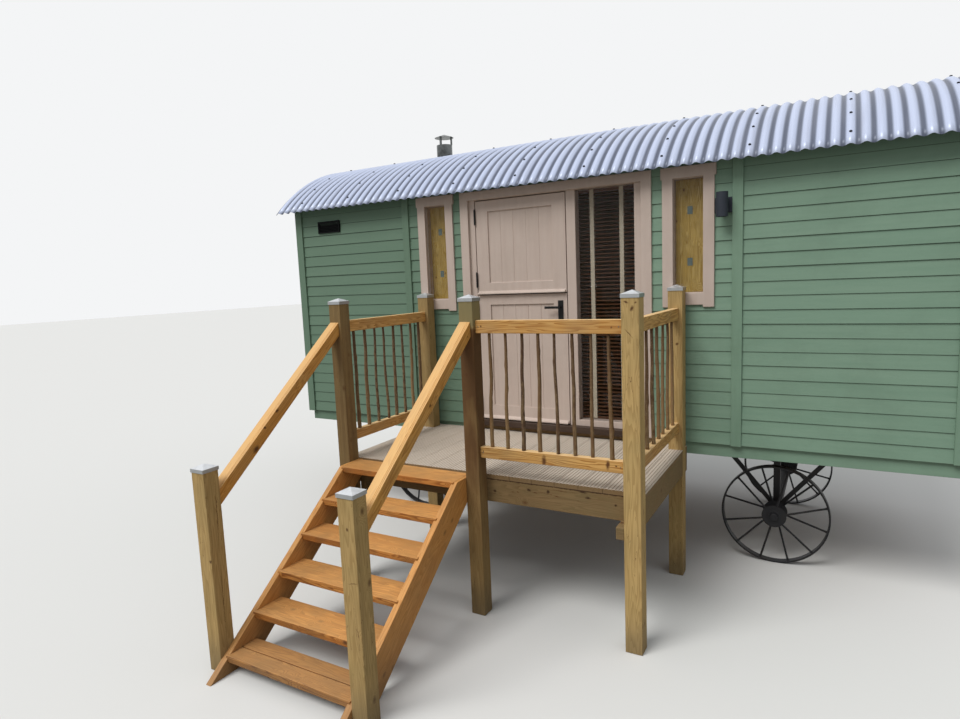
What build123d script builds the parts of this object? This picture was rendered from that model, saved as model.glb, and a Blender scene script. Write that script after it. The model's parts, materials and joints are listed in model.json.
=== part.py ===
from build123d import *
import math
import os

# Shepherd's hut with an entrance deck, in millimetres.
# +X runs along the hut, +Y goes from the door side to the back, +Z is up and the ground is at 0.
# Pieces are drawn with Y = 0 on the front cladding and moved once, when they are written.

# Cabin shell
body_length = 5000
body_width = 2040
wall_thickness = 80
wall_bottom = 922
floor_thickness = 80
base_board_height = 88
base_board_thickness = 22
base_board_recess = 12
trim_thickness = 20
corner_trim_width = 75
trim_drop = 6
batten_width = 64
batten_from_window = 299

# Arched roof
eave_height = 2741
roof_rise = 490
eave_overhang = 120
end_overhang = 150
corrugation_depth = 18
roof_lining_thickness = 40
seat_gap = 0.3

# Doorway, with the stable door on the left and a fixed sidelight on the right
facade_centre = -6
door_set_half = 676
frame_face = 50
leaf_width = 744
leaf_thickness = 42
leaf_setback = 2
head_below_eave = 61
top_leaf_height = 720
leaf_gap = 8
hinge_side_gap = 5
latch_side_gap = 7
head_gap = 7
head_height = 48
mullion_width = 69
sidelight_sill_height = 45
sidelight_glass_depth = 16
stop_thickness = 15
stop_cover = 12
stop_gap = 5
architrave_width = 71
architrave_thickness = 22
architrave_reveal = 3
threshold_height = 48
threshold_nose = 45

# Door leaves and their fittings
stile_width = 106
top_rail_height = 83
upper_foot_rail_height = 88
lower_head_rail_height = 74
foot_rail_height = 106
panel_recess = 10
panel_boards = 5
board_joint_width = 6
board_joint_depth = 3
weather_bar_height = 24
weather_bar_reach = 26
hinge_height = 110
hinge_top_inset = 64
hinge_foot_inset = 58
hinge_knuckle_radius = 7
hinge_pin_radius = 3.5
hinge_finial_radius = 5
hinge_finial_length = 6
hinge_flat_depth = 30
hinge_play = 1
hinge_face_gap = 0.5
pin_clearance = 0.05
handle_plate_width = 40
handle_plate_height = 150
handle_plate_thickness = 6
handle_plate_over_lever = 50
handle_from_edge = 50
lever_below_split = 106
lever_length = 112
lever_bar = 18
lever_bar_thickness = 12
lever_stand_off = 42
spindle_radius = 6
spindle_depth = 16

# Narrow windows, with glass in a rebate and folding shutters closed behind
window_from_door_set = 309
window_width = 184
window_height = 740
window_below_eave = 63
window_frame_face = 16
window_frame_setback = 6
window_glass_depth = 12
window_board_width = 70
window_board_reveal = 4
glass_thickness = 4
glass_rebate = 7
head_board_height = 78
head_board_ears = 10
sill_piece_height = 83
side_board_drop = 98
shutter_thickness = 16
shutter_inset = 8

# Venetian blind behind the sidelight
blind_depth = 35
blind_headrail_height = 30
slat_pitch = 28
slat_lap = 12

# Wall vent, wall lamp and stove flue
vent_from_end = 379
vent_below_eave = 88
vent_width = 250
vent_height = 102
vent_thickness = 20
vent_border = 12
vent_slats = 6
lamp_from_window = 215
lamp_below_eave = 180
lamp_height = 152
lamp_radius = 36
lamp_stand_off = 80
lamp_bracket_width = 36
lamp_bracket_height = 95
lamp_wall = 6
lamp_well_depth = 14
flue_from_end = 749
flue_behind_ridge = 380
flue_radius = 80
flue_wall = 25
flue_over_ridge = 229
flue_below_lining = 60
flue_bore_depth = 100
cowl_radius = 98
cowl_clearance = 75
cowl_rise = 32
cowl_strap = 14
flashing_radius = 150
flashing_height = 60

# Chassis, axles and spoked wheels
chassis_depth = 80
chassis_width = 60
chassis_inset = 520
chassis_end_gap = 60
wheel_from_end = 1006
wheel_radius = 350
wheel_face = 349
rim_width = 50
rim_thickness = 12
rim_sides = 48
hub_sides = 24
hub_flange_radius = 80
hub_flange_thickness = 8
hub_barrel_radius = 45
hub_length = 120
hub_cap_radius = 27
hub_cap_length = 16
spoke_count = 12
spoke_radius = 7
stub_radius = 20
stub_clearance = 0.05
axle_beam = 56
axle_gap = 6
axle_post = 44
brace_width = 40
brace_thickness = 12
brace_spread = 350

# Deck
deck_below_wall = 34
deck_left = -1128
deck_right = 966
post_size = 95
middle_post_left = -111
deck_front = -1066
deck_board_width = 112
deck_board_gap = 6
deck_board_thickness = 27
joist_depth = 147
joist_thickness = 45
joist_count = 4
bearer_depth = 70
wall_post_gap = 5

# Railings
rail_height = 953
post_over_rail = 133
rail_depth = 77
rail_thickness = 45
bottom_rail_height = 188
bottom_rail_depth = 68
stick_top_radius = 10
stick_foot_radius = 13
stick_sides = 8
front_stick_count = 8
left_stick_count = 8
right_stick_count = 7
cap_overlap = 3
cap_skirt = 20
cap_rise = 20

# Stair
tread_count = 6
foot_rise = 105
tread_going = 201
tread_depth = 199
tread_thickness = 38
deck_step = 8
stair_gap = 10
foot_tread_gap = 5
string_thickness = 38
string_depth = 190
string_setback = 14
housing_depth = 16
newel_height = 1145
newel_from_foot = 107
handrail_width = 74
handrail_depth = 72
handrail_offset = 8
handrail_top_drop = 7
handrail_foot_drop = 145

# Levels and places that follow from the sizes above
half_length = body_length / 2
half_width = body_width / 2
wheel_place = half_length - wheel_from_end
floor_bottom = wall_bottom - floor_thickness
chassis_bottom = floor_bottom - chassis_depth
base_bottom = wall_bottom - base_board_height
eave_half = half_width + eave_overhang
sheet_radius = (eave_half**2 + roof_rise**2) / (2 * roof_rise)
roof_centre_z = eave_height + roof_rise - sheet_radius
sheet_outer = sheet_radius + corrugation_depth
half_angle = math.degrees(math.asin(eave_half / sheet_radius))
eave_reach = sheet_outer * math.sin(math.radians(half_angle)) - half_width
lining_outer = sheet_radius - seat_gap
lining_inner = lining_outer - roof_lining_thickness
wall_top_radius = lining_inner - seat_gap
trim_top_radius = sheet_radius - 2
door_left = facade_centre - door_set_half
door_right = facade_centre + door_set_half
frame_left = door_left + frame_face
frame_right = door_right - frame_face
leaf_left = frame_left + hinge_side_gap
leaf_right = leaf_left + leaf_width
mullion_left = leaf_right + latch_side_gap
sidelight_left = mullion_left + mullion_width
threshold_top = wall_bottom + threshold_height
sidelight_bottom = threshold_top + sidelight_sill_height
leaf_bottom = threshold_top + leaf_gap
leaf_top = eave_height - head_below_eave
leaf_split = leaf_top - top_leaf_height
head_bottom = leaf_top + head_gap
head_top = head_bottom + head_height
lever_height = leaf_split - lever_below_split
hinge_plate = (hinge_side_gap - hinge_play) / 2
window_place = door_set_half + window_from_door_set
window_top = eave_height - window_below_eave
window_bottom = window_top - window_height
shutter_setback = wall_thickness - shutter_thickness - shutter_inset
batten_place = window_place + batten_from_window
vent_place = -half_length + vent_from_end
vent_bottom = eave_height - vent_below_eave - vent_height
lamp_place = window_place + lamp_from_window
lamp_bottom = eave_height - lamp_below_eave - lamp_height
flue_top = eave_height + roof_rise + corrugation_depth + flue_over_ridge
flue_place = (-half_length + flue_from_end, half_width + flue_behind_ridge)
deck_height = wall_bottom - deck_below_wall
joist_top = deck_height - deck_board_thickness
post_front = deck_front - post_size
wall_post_back = -architrave_thickness - wall_post_gap
first_tread_top = deck_height - deck_step
first_tread_front = deck_front - stair_gap - tread_depth
tread_rise = (first_tread_top - foot_rise) / (tread_count - 1)
stair_slope = tread_rise / tread_going
string_front = first_tread_front + string_setback
string_foot = string_front - first_tread_top / stair_slope
newel_front = string_foot + newel_from_foot
stair_reach = min(newel_front, string_foot)
post_places = {
    "front_left": (deck_left, post_front),
    "front_middle": (middle_post_left, post_front),
    "front_right": (deck_right - post_size, post_front),
    "wall_left": (deck_left, wall_post_back - post_size),
    "wall_right": (deck_right - post_size, wall_post_back - post_size),
}
newel_places = [(deck_left, newel_front), (middle_post_left, newel_front)]
y_shift = -(stair_reach + body_width + eave_reach) / 2

os.makedirs("parts", exist_ok=True)


def block(x0, x1, y0, y1, z0, z1):
    """A square-edged block between two corners."""
    size = Box(x1 - x0, y1 - y0, z1 - z0)
    return Pos((x0 + x1) / 2, (y0 + y1) / 2, (z0 + z1) / 2) * size


def along_x(sketch, x0, length):
    """Carry a profile drawn in the YZ plane along the hut."""
    plane = Plane(origin=(x0, 0, 0), x_dir=(0, 1, 0), z_dir=(1, 0, 0))
    return extrude(plane * sketch, length)


def post_turned(radius, length, centre, direction):
    """A round bar that starts at a centre and runs in a direction."""
    plane = Plane(origin=centre, z_dir=direction)
    return extrude(plane * Circle(radius), length)


def roof_core(radius, length):
    """Everything that lies below an arc of the roof."""
    plane = Plane(origin=(-length / 2, half_width, roof_centre_z), x_dir=(0, 1, 0), z_dir=(1, 0, 0))
    return extrude(plane * Circle(radius), length)


def roof_arch(inner, outer, half_angle, length):
    """A curved sheet about the roof's centre line."""
    start = 90 - half_angle
    top = CenterArc((0, 0), outer, start, 2 * half_angle)
    under = CenterArc((0, 0), inner, start, 2 * half_angle)
    right = Line(top @ 0, under @ 0)
    left = Line(top @ 1, under @ 1)
    plane = Plane(origin=(-length / 2, half_width, roof_centre_z), x_dir=(0, 1, 0), z_dir=(1, 0, 0))
    return extrude(plane * make_face([top, left, under, right]), length)


def to_back(shape):
    """The same piece on the back wall."""
    return mirror(shape, Plane(origin=(0, half_width, 0), z_dir=(0, 1, 0)))


def to_right(shape):
    """The same piece at the other end of the hut."""
    return mirror(shape, Plane.YZ)


def save(name, *solids):
    """Write one named node, moved so that the origin is under the middle."""
    pieces = []
    for solid in solids:
        pieces.extend((Pos(0, y_shift, 0) * solid).solids())
    shape = pieces[0] if len(pieces) == 1 else Compound(children=pieces)
    shape.label = name
    export_step(shape, f"parts/{name}.step")


def windows_on_front():
    """Centre of each narrow window in the front wall."""
    return [facade_centre - window_place, facade_centre + window_place]


def window_hole(place):
    """The hole that a narrow window needs in its wall."""
    reach = window_width / 2 + window_frame_face
    low = window_bottom - window_frame_face
    high = window_top + window_frame_face
    return block(place - reach, place + reach, -1, wall_thickness + 1, low, high)


def make_chassis():
    """Ladder frame of two long rails with four cross members."""
    reach = half_length - chassis_end_gap
    rails = []
    for y in (chassis_inset, body_width - chassis_inset - chassis_width):
        rails.append(block(-reach, reach, y, y + chassis_width, chassis_bottom, floor_bottom))
    frame = rails[0] + rails[1]
    inner = chassis_inset + chassis_width
    at_wheel = wheel_place - chassis_width / 2
    for x in (-reach, -at_wheel - chassis_width, at_wheel, reach - chassis_width):
        frame += block(x, x + chassis_width, inner, body_width - inner, chassis_bottom, floor_bottom)
    save("chassis_frame", frame)


def make_floor_and_base():
    """Floor slab on the chassis and the base boards that hide its edge."""
    near = base_board_recess
    inset = near + base_board_thickness
    reach = half_length - inset
    floor = block(-reach, reach, inset, body_width - inset, floor_bottom, wall_bottom)
    save("floor", floor)
    outer = block(-half_length + near, half_length - near, near, body_width - near, base_bottom, wall_bottom)
    inner = block(-reach, reach, inset, body_width - inset, base_bottom - 1, wall_bottom + 1)
    save("base_boards", outer - inner)


def make_walls():
    """Four walls under the arch, with the front split beside and over the doorway."""
    core = roof_core(wall_top_radius, body_length)
    top = eave_height + roof_rise
    left_window, right_window = windows_on_front()
    left = block(-half_length, door_left, 0, wall_thickness, wall_bottom, top) & core
    save("front_wall_left", left - window_hole(left_window))
    right = block(door_right, half_length, 0, wall_thickness, wall_bottom, top) & core
    save("front_wall_right", right - window_hole(right_window))
    over = block(door_left, door_right, 0, wall_thickness, head_top, top) & core
    save("front_wall_over_door", over)
    back = to_back(block(-half_length, half_length, 0, wall_thickness, wall_bottom, top) & core)
    for place in windows_on_front():
        back -= to_back(window_hole(place))
    save("back_wall", back)
    end = block(-half_length, -half_length + wall_thickness, wall_thickness, body_width - wall_thickness,
                wall_bottom, top) & core
    save("left_end_wall", end)
    save("right_end_wall", to_right(end))


def make_roof():
    """Curved lining on the walls and the sheet that reaches past them as eaves."""
    ring = roof_core(lining_outer, body_length) - roof_core(lining_inner, body_length + 2)
    slab = block(-half_length, half_length, 0, body_width, eave_height, eave_height + 2 * roof_rise)
    x, y = flue_place
    hole = Pos(x, y, flue_top) * Cylinder(flue_radius + seat_gap, 2 * roof_rise)
    save("roof_lining", (ring & slab) - hole)
    sheet = roof_arch(sheet_radius, sheet_outer, half_angle, body_length + 2 * end_overhang)
    save("roof_sheet", sheet - hole)


def make_trims():
    """Corner boards and upright battens over the cladding."""
    core = roof_core(trim_top_radius, body_length + 4 * trim_thickness)
    low = wall_bottom - trim_drop
    high = eave_height + roof_rise
    outer = half_length + trim_thickness
    front_board = block(-outer, -outer + corner_trim_width, -trim_thickness, 0, low, high)
    end_board = block(-outer, -half_length, 0, corner_trim_width - trim_thickness, low, high)
    corner = (front_board + end_board) & core
    corners = [corner, to_right(corner), to_back(corner), to_back(to_right(corner))]
    save("corner_trims", *corners)
    batten = block(-batten_width / 2, batten_width / 2, -trim_thickness, 0, low, high) & core
    battens = []
    for side in (-1, 1):
        front = Pos(side * batten_place, 0, 0) * batten
        battens.append(front)
        battens.append(to_back(front))
    save("wall_battens", *battens)


def make_door_frame():
    """Jambs, head, mullion, sidelight sill and the stops behind the leaves."""
    depth = wall_thickness
    foot = threshold_top
    frame = block(door_left, frame_left, 0, depth, foot, head_top)
    frame += block(frame_right, door_right, 0, depth, foot, head_top)
    frame += block(door_left, door_right, 0, depth, head_bottom, head_top)
    frame += block(mullion_left, sidelight_left, 0, depth, foot, head_top)
    frame += block(mullion_left, door_right, 0, depth, foot, sidelight_bottom)
    stop_front = leaf_setback + leaf_thickness + stop_gap
    stop_back = stop_front + stop_thickness
    frame += block(frame_left, frame_left + stop_cover, stop_front, stop_back, foot, head_bottom)
    frame += block(mullion_left - stop_cover, mullion_left, stop_front, stop_back, foot, head_bottom)
    frame += block(frame_left, mullion_left, stop_front, stop_back, head_bottom - stop_cover, head_bottom)
    pane = sidelight_pane()
    frame -= pane
    save("door_frame", frame)
    low = wall_bottom + trim_drop
    left = door_left - architrave_width
    right = door_right + architrave_width
    front = -architrave_thickness
    top = head_bottom + architrave_reveal
    boards = block(left, door_left, front, 0, low, top)
    boards += block(door_right, right, front, 0, low, top)
    boards += block(left, right, front, 0, top, window_top + head_board_height)
    save("door_architrave", boards)
    sill = block(door_left, door_right, -threshold_nose, wall_thickness, wall_bottom, threshold_top)
    save("threshold", sill)


def sidelight_pane():
    """The sidelight's glass, let into its frame on four sides."""
    low = sidelight_bottom - glass_rebate
    high = head_bottom + glass_rebate
    front = sidelight_glass_depth
    return block(sidelight_left - glass_rebate, frame_right + glass_rebate, front,
                 front + glass_thickness, low, high)


def door_leaf(low, high, low_rail, high_rail):
    """A framed leaf with a recessed panel on both faces and a weather bar at its foot."""
    face = leaf_setback
    back = leaf_setback + leaf_thickness
    leaf = block(leaf_left, leaf_right, face, back, low, high)
    x0 = leaf_left + stile_width
    x1 = leaf_right - stile_width
    leaf -= block(x0, x1, face - 1, face + panel_recess, low + low_rail, high - high_rail)
    leaf -= block(x0, x1, back - panel_recess, back + 1, low + low_rail, high - high_rail)
    for index in range(1, panel_boards):
        x = x0 + (x1 - x0) * index / panel_boards
        leaf -= board_joint(x, face + panel_recess, 1, low + low_rail, high - high_rail)
        leaf -= board_joint(x, back - panel_recess, -1, low + low_rail, high - high_rail)
    profile = Polyline(
        (face, low + weather_bar_height),
        (face - weather_bar_reach, low + weather_bar_height / 3),
        (face - weather_bar_reach, low),
        (face, low),
        close=True,
    )
    bar = along_x(make_face(profile), leaf_left + latch_side_gap, leaf_width - 2 * latch_side_gap)
    return leaf + bar


def board_joint(x, face, inward, low, high):
    """The V cut where two boards of a panel meet."""
    half = board_joint_width / 2
    profile = Polyline(
        (x - half, face),
        (x, face + inward * board_joint_depth),
        (x + half, face),
        close=True,
    )
    return extrude(Plane.XY.offset(low) * make_face(profile), high - low)


def hinge_levels(low, high):
    """Height of the foot of each of a leaf's two hinges."""
    return [low + hinge_foot_inset, high - hinge_top_inset - hinge_height]


def hinge_axis():
    """Plan place of the hinge pins, just in front of the frame and beside the leaves."""
    x = (leaf_left + frame_left) / 2
    return x, -hinge_knuckle_radius - hinge_face_gap


def knuckle(low, high, radius):
    """A round length of hinge on the pin's axis."""
    x, y = hinge_axis()
    return Pos(x, y, (low + high) / 2) * Cylinder(radius, high - low)


def make_door():
    """Both leaves with their hinges, and the latch handle of the lower leaf."""
    split_low = leaf_split - leaf_gap / 2
    split_high = leaf_split + leaf_gap / 2
    save("door_top_leaf", door_leaf(split_high, leaf_top, upper_foot_rail_height, top_rail_height))
    latch_x = leaf_right - handle_from_edge
    lower = door_leaf(leaf_bottom, split_low, foot_rail_height, lower_head_rail_height)
    socket = post_turned(spindle_radius + 1, spindle_depth + 2,
                         (latch_x, leaf_setback, lever_height), (0, 1, 0))
    save("door_bottom_leaf", lower - socket)
    make_hinges("top_leaf_hinges", hinge_levels(split_high, leaf_top))
    make_hinges("bottom_leaf_hinges", hinge_levels(leaf_bottom, split_low))
    make_fixed_hinges(hinge_levels(split_high, leaf_top) + hinge_levels(leaf_bottom, split_low))
    make_handle(latch_x)


def make_hinges(name, levels):
    """The moving halves: a flat on the leaf's edge and the middle knuckle round the pin."""
    y = hinge_axis()[1]
    x0 = leaf_left - hinge_plate
    back = leaf_setback + hinge_flat_depth
    halves = []
    for low in levels:
        first = low + hinge_height / 3 + hinge_play
        last = low + 2 * hinge_height / 3 - hinge_play
        half = block(x0, leaf_left, leaf_setback, back, low, low + hinge_height)
        half += block(x0, leaf_left, y, leaf_setback, first, last)
        half += knuckle(first, last, hinge_knuckle_radius)
        halves.append(half - knuckle(first - 1, last + 1, hinge_pin_radius + pin_clearance))
    save(name, *halves)


def make_fixed_hinges(levels):
    """The fixed halves: a flat on the jamb, two knuckles and the pin with its finials."""
    y = hinge_axis()[1]
    x1 = frame_left + hinge_plate
    halves = []
    for low in levels:
        high = low + hinge_height
        third = low + hinge_height / 3
        two_thirds = low + 2 * hinge_height / 3
        half = block(frame_left, x1, 0, hinge_flat_depth, low, high)
        for z0, z1 in ((low, third), (two_thirds, high)):
            half += block(frame_left, x1, y, 0, z0, z1)
            half += knuckle(z0, z1, hinge_knuckle_radius)
        half += knuckle(low, high, hinge_pin_radius)
        for z0 in (low - hinge_finial_length, high):
            half += knuckle(z0, z0 + hinge_finial_length, hinge_finial_radius)
        halves.append(half)
    save("frame_hinges", *halves)


def make_handle(latch_x):
    """A long plate with a lever that turns in it."""
    face = leaf_setback
    front = face - handle_plate_thickness
    high = lever_height + handle_plate_over_lever
    half = handle_plate_width / 2
    plate = block(latch_x - half, latch_x + half, front, face, high - handle_plate_height, high)
    bore = post_turned(spindle_radius + pin_clearance, handle_plate_thickness + 2,
                       (latch_x, front - 1, lever_height), (0, 1, 0))
    save("door_handle", plate - bore)
    length = lever_stand_off + spindle_depth
    spindle = post_turned(spindle_radius, length, (latch_x, face - lever_stand_off, lever_height), (0, 1, 0))
    y0 = face - lever_stand_off - lever_bar_thickness / 2
    bar = block(latch_x - lever_length, latch_x, y0, y0 + lever_bar_thickness,
                lever_height - lever_bar / 2, lever_height + lever_bar / 2)
    knob = post_turned(lever_bar / 2, lever_bar_thickness, (latch_x, y0, lever_height), (0, 1, 0))
    save("door_lever", spindle + bar + knob)


def window_parts(place):
    """Frame, boards, pane and two closed shutters of one narrow window."""
    x0 = place - window_width / 2
    x1 = place + window_width / 2
    face = window_frame_face
    low = window_bottom
    high = window_top
    pane = block(x0 - glass_rebate, x1 + glass_rebate, window_glass_depth,
                 window_glass_depth + glass_thickness, low - glass_rebate, high + glass_rebate)
    frame = block(x0 - face, x1 + face, window_frame_setback, wall_thickness, low - face, high + face)
    frame -= block(x0, x1, 0, wall_thickness + 1, low, high)
    frame -= pane
    front = -architrave_thickness
    near = window_board_reveal
    far = near + window_board_width
    ears = far + head_board_ears
    foot = low - side_board_drop
    top = high + near
    boards = block(x0 - far, x0 - near, front, 0, foot, top)
    boards += block(x1 + near, x1 + far, front, 0, foot, top)
    boards += block(x0 - near, x1 + near, front, 0, low - sill_piece_height, low - near)
    boards += block(x0 - ears, x1 + ears, front, 0, top, high + head_board_height)
    shutters = []
    leaf = (window_width - 3 * seat_gap) / 2
    for start in (x0 + seat_gap, place + seat_gap / 2):
        shutters.append(block(start, start + leaf, shutter_setback, shutter_setback + shutter_thickness,
                              low + seat_gap, high - seat_gap))
    return frame, boards, pane, shutters


def make_windows():
    """Two windows in the front and the same two in the back."""
    frames = []
    boards = []
    panes = [sidelight_pane()]
    shutters = []
    for place in windows_on_front():
        frame, board, pane, pair = window_parts(place)
        frames += [frame, to_back(frame)]
        boards += [board, to_back(board)]
        panes += [pane, to_back(pane)]
        shutters += pair
        shutters += [to_back(leaf) for leaf in pair]
    save("window_frames", *frames)
    save("window_architraves", *boards)
    save("window_glass", *panes)
    save("window_shutters", *shutters)


def make_blind():
    """Venetian blind hung closed inside the sidelight, each slat lapping the one below."""
    x0 = sidelight_left - mullion_width / 2
    x1 = frame_right + frame_face / 2
    y0 = wall_thickness
    y1 = y0 + blind_depth
    top = head_bottom + blind_headrail_height / 2
    slats_top = top - blind_headrail_height
    count = math.floor((slats_top - sidelight_bottom) / slat_pitch)
    slats_foot = slats_top - count * slat_pitch
    front = []
    back = []
    for index in range(count):
        z = slats_foot + index * slat_pitch
        front += [(y0, z), (y0 + slat_lap, z + slat_pitch)]
        back += [(y1 - slat_lap, z), (y1, z + slat_pitch)]
    front += [(y0, slats_top), (y0, top)]
    back += [(y1, top)]
    foot = [(y1, slats_foot), (y1, sidelight_bottom), (y0, sidelight_bottom)]
    profile = Polyline(*front, *reversed(back), *foot, close=True)
    save("venetian_blind", along_x(make_face(profile), x0, x1 - x0))


def make_vent():
    """Louvred wall vent."""
    x0 = vent_place - vent_width / 2
    top = vent_bottom + vent_height
    vent = block(x0, x0 + vent_width, -vent_thickness, 0, vent_bottom, top)
    clear = vent_height - 2 * vent_border
    pitch = clear / vent_slats
    for index in range(vent_slats):
        z = vent_bottom + vent_border + index * pitch
        profile = Polyline(
            (-vent_thickness - 1, z),
            (-vent_thickness - 1, z + pitch * 0.6),
            (-vent_thickness / 3, z + pitch * 0.9),
            (-vent_thickness / 3, z + pitch * 0.3),
            close=True,
        )
        vent -= along_x(make_face(profile), x0 + vent_border, vent_width - 2 * vent_border)
    save("wall_vent", vent)


def make_lamp():
    """Up and down wall light on a short bracket."""
    middle = lamp_bottom + lamp_height / 2
    lamp = Pos(lamp_place, -lamp_stand_off, middle) * Cylinder(lamp_radius, lamp_height)
    half = lamp_bracket_width / 2
    low = middle - lamp_bracket_height / 2
    lamp += block(lamp_place - half, lamp_place + half, -lamp_stand_off, 0, low, low + lamp_bracket_height)
    for z in (lamp_bottom, lamp_bottom + lamp_height):
        lamp -= Pos(lamp_place, -lamp_stand_off, z) * Cylinder(lamp_radius - lamp_wall, 2 * lamp_well_depth)
    save("wall_lamp", lamp)


def make_flue():
    """Insulated stove flue through the roof, with a cone cowl on three straps."""
    x, y = flue_place
    outside = abs(y - half_width)
    roof_z = roof_centre_z + math.sqrt(sheet_outer**2 - outside**2)
    low = roof_centre_z + math.sqrt(lining_inner**2 - outside**2) - flue_below_lining
    pipe = Pos(x, y, (low + flue_top) / 2) * Cylinder(flue_radius, flue_top - low)
    skirt_low = roof_centre_z + math.sqrt(sheet_outer**2 - (outside + flashing_radius) ** 2)
    skirt_high = roof_z + flashing_height
    collar = Cone(flashing_radius, flue_radius, skirt_high - skirt_low)
    collar = Pos(x, y, (skirt_low + skirt_high) / 2) * collar
    pipe += collar - roof_core(sheet_outer + seat_gap, body_length)
    bore = Pos(x, y, flue_top) * Cylinder(flue_radius - flue_wall, 2 * flue_bore_depth)
    save("flue_pipe", pipe - bore)
    cone_low = flue_top + cowl_clearance
    cowl = Pos(x, y, cone_low + cowl_rise / 2) * Cone(cowl_radius, cowl_strap / 2, cowl_rise)
    ring_radius = flue_radius - cowl_strap / 2
    for index in range(3):
        angle = math.radians(120 * index + 30)
        sx = x + ring_radius * math.cos(angle)
        sy = y + ring_radius * math.sin(angle)
        half = cowl_strap / 2
        cowl += block(sx - half, sx + half, sy - half, sy + half, flue_top, cone_low + cowl_rise / 4)
    save("flue_cowl", cowl)


def make_axle(name, place):
    """Axle beam with stub ends, upright stands and V braces up to the chassis."""
    hub_back = wheel_face + rim_width / 2 + hub_length / 2
    beam_front = hub_back + axle_gap
    low = wheel_radius - axle_beam / 2
    high = wheel_radius + axle_beam / 2
    half = axle_beam / 2
    axle = block(place - half, place + half, beam_front, body_width - beam_front, low, high)
    stub = post_turned(stub_radius, hub_length + axle_gap,
                       (place, hub_back - hub_length, wheel_radius), (0, 1, 0))
    axle += stub + to_back(stub)
    stand = block(place - axle_post / 2, place + axle_post / 2, chassis_inset, chassis_inset + axle_post,
                  wheel_radius, chassis_bottom)
    axle += stand + to_back(stand)
    for side in (-1, 1):
        foot = place + side * half
        head = place + side * brace_spread
        profile = Polyline(
            (foot - side * brace_width, wheel_radius),
            (foot, wheel_radius),
            (head + side * brace_width / 2, chassis_bottom),
            (head - side * brace_width / 2, chassis_bottom),
            close=True,
        )
        plane = Plane(origin=(0, chassis_inset + axle_post / 2, 0), x_dir=(1, 0, 0), z_dir=(0, -1, 0))
        brace = extrude(plane * make_face(profile), brace_thickness)
        axle += brace + to_back(brace)
    save(name, axle)


def wheel_disc(sketch, back, width):
    """Carry a profile drawn round the wheel's axis forwards from a place on it."""
    plane = Plane(origin=(0, back, 0), x_dir=(1, 0, 0), z_dir=(0, -1, 0))
    return extrude(plane * sketch, width)


def spoked_wheel():
    """Wheel at the origin about the Y axis, with its outer side towards -Y and many-sided rounds."""
    flat_down = 180 / rim_sides
    outer, inner = [
        RegularPolygon(radius, rim_sides, major_radius=False, rotation=flat_down)
        for radius in (wheel_radius, wheel_radius - rim_thickness)
    ]
    wheel = wheel_disc(outer - inner, rim_width / 2, rim_width)
    half = hub_length / 2
    wheel += wheel_disc(RegularPolygon(hub_barrel_radius, hub_sides), half, hub_length)
    wheel += wheel_disc(RegularPolygon(hub_cap_radius, hub_sides), -half, hub_cap_length)
    rows = (-half + hub_flange_thickness, half - hub_flange_thickness)
    for y in rows:
        flange = RegularPolygon(hub_flange_radius, hub_sides)
        wheel += wheel_disc(flange, y + hub_flange_thickness / 2, hub_flange_thickness)
    inner = hub_flange_radius - spoke_radius
    outer = wheel_radius - rim_thickness / 2
    for index in range(spoke_count):
        angle = 2 * math.pi * (index + 0.5) / spoke_count
        near = Vector(inner * math.cos(angle), rows[index % 2], inner * math.sin(angle))
        far = Vector(outer * math.cos(angle), rows[index % 2] * rim_width / 4 / half, outer * math.sin(angle))
        plane = Plane(origin=near, z_dir=far - near)
        wheel += extrude(plane * RegularPolygon(spoke_radius, 6), (far - near).length)
    return wheel - wheel_disc(Circle(stub_radius + stub_clearance), half + 1, hub_length + 1 + stub_clearance)


def make_wheels():
    """Four wheels on the stub ends."""
    wheel = spoked_wheel()
    centre_y = wheel_face + rim_width / 2
    for side, x in (("left", -wheel_place), ("right", wheel_place)):
        front = Pos(x, centre_y, wheel_radius) * wheel
        save(f"wheel_front_{side}", front)
        save(f"wheel_back_{side}", to_back(front))


def make_posts():
    """Deck posts and stair newels down to the ground, with pyramid caps."""
    posts = []
    caps = []
    for x, y in post_places.values():
        top = deck_height + rail_height + post_over_rail
        posts.append(block(x, x + post_size, y, y + post_size, 0, top))
        caps.append(post_cap(x, y, top))
    save("deck_posts", *posts)
    newels = []
    for x, y in newel_places:
        newels.append(block(x, x + post_size, y, y + post_size, 0, newel_height))
        caps.append(post_cap(x, y, newel_height))
    save("newel_posts", *newels)
    save("post_caps", *caps)


def post_cap(x, y, top):
    """A metal cap with a low pyramid on a square skirt."""
    wide = post_size + 2 * cap_overlap
    middle = Pos(x + post_size / 2, y + post_size / 2, top)
    skirt = Pos(0, 0, -cap_skirt / 2) * Box(wide, wide, cap_skirt)
    skirt -= Pos(0, 0, -cap_skirt / 2) * Box(post_size, post_size, cap_skirt + 1)
    base = Plane.XY * Rectangle(wide, wide)
    tip = Plane.XY.offset(cap_rise) * Rectangle(2, 2)
    return middle * (skirt + loft([base, tip], ruled=True))


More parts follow.
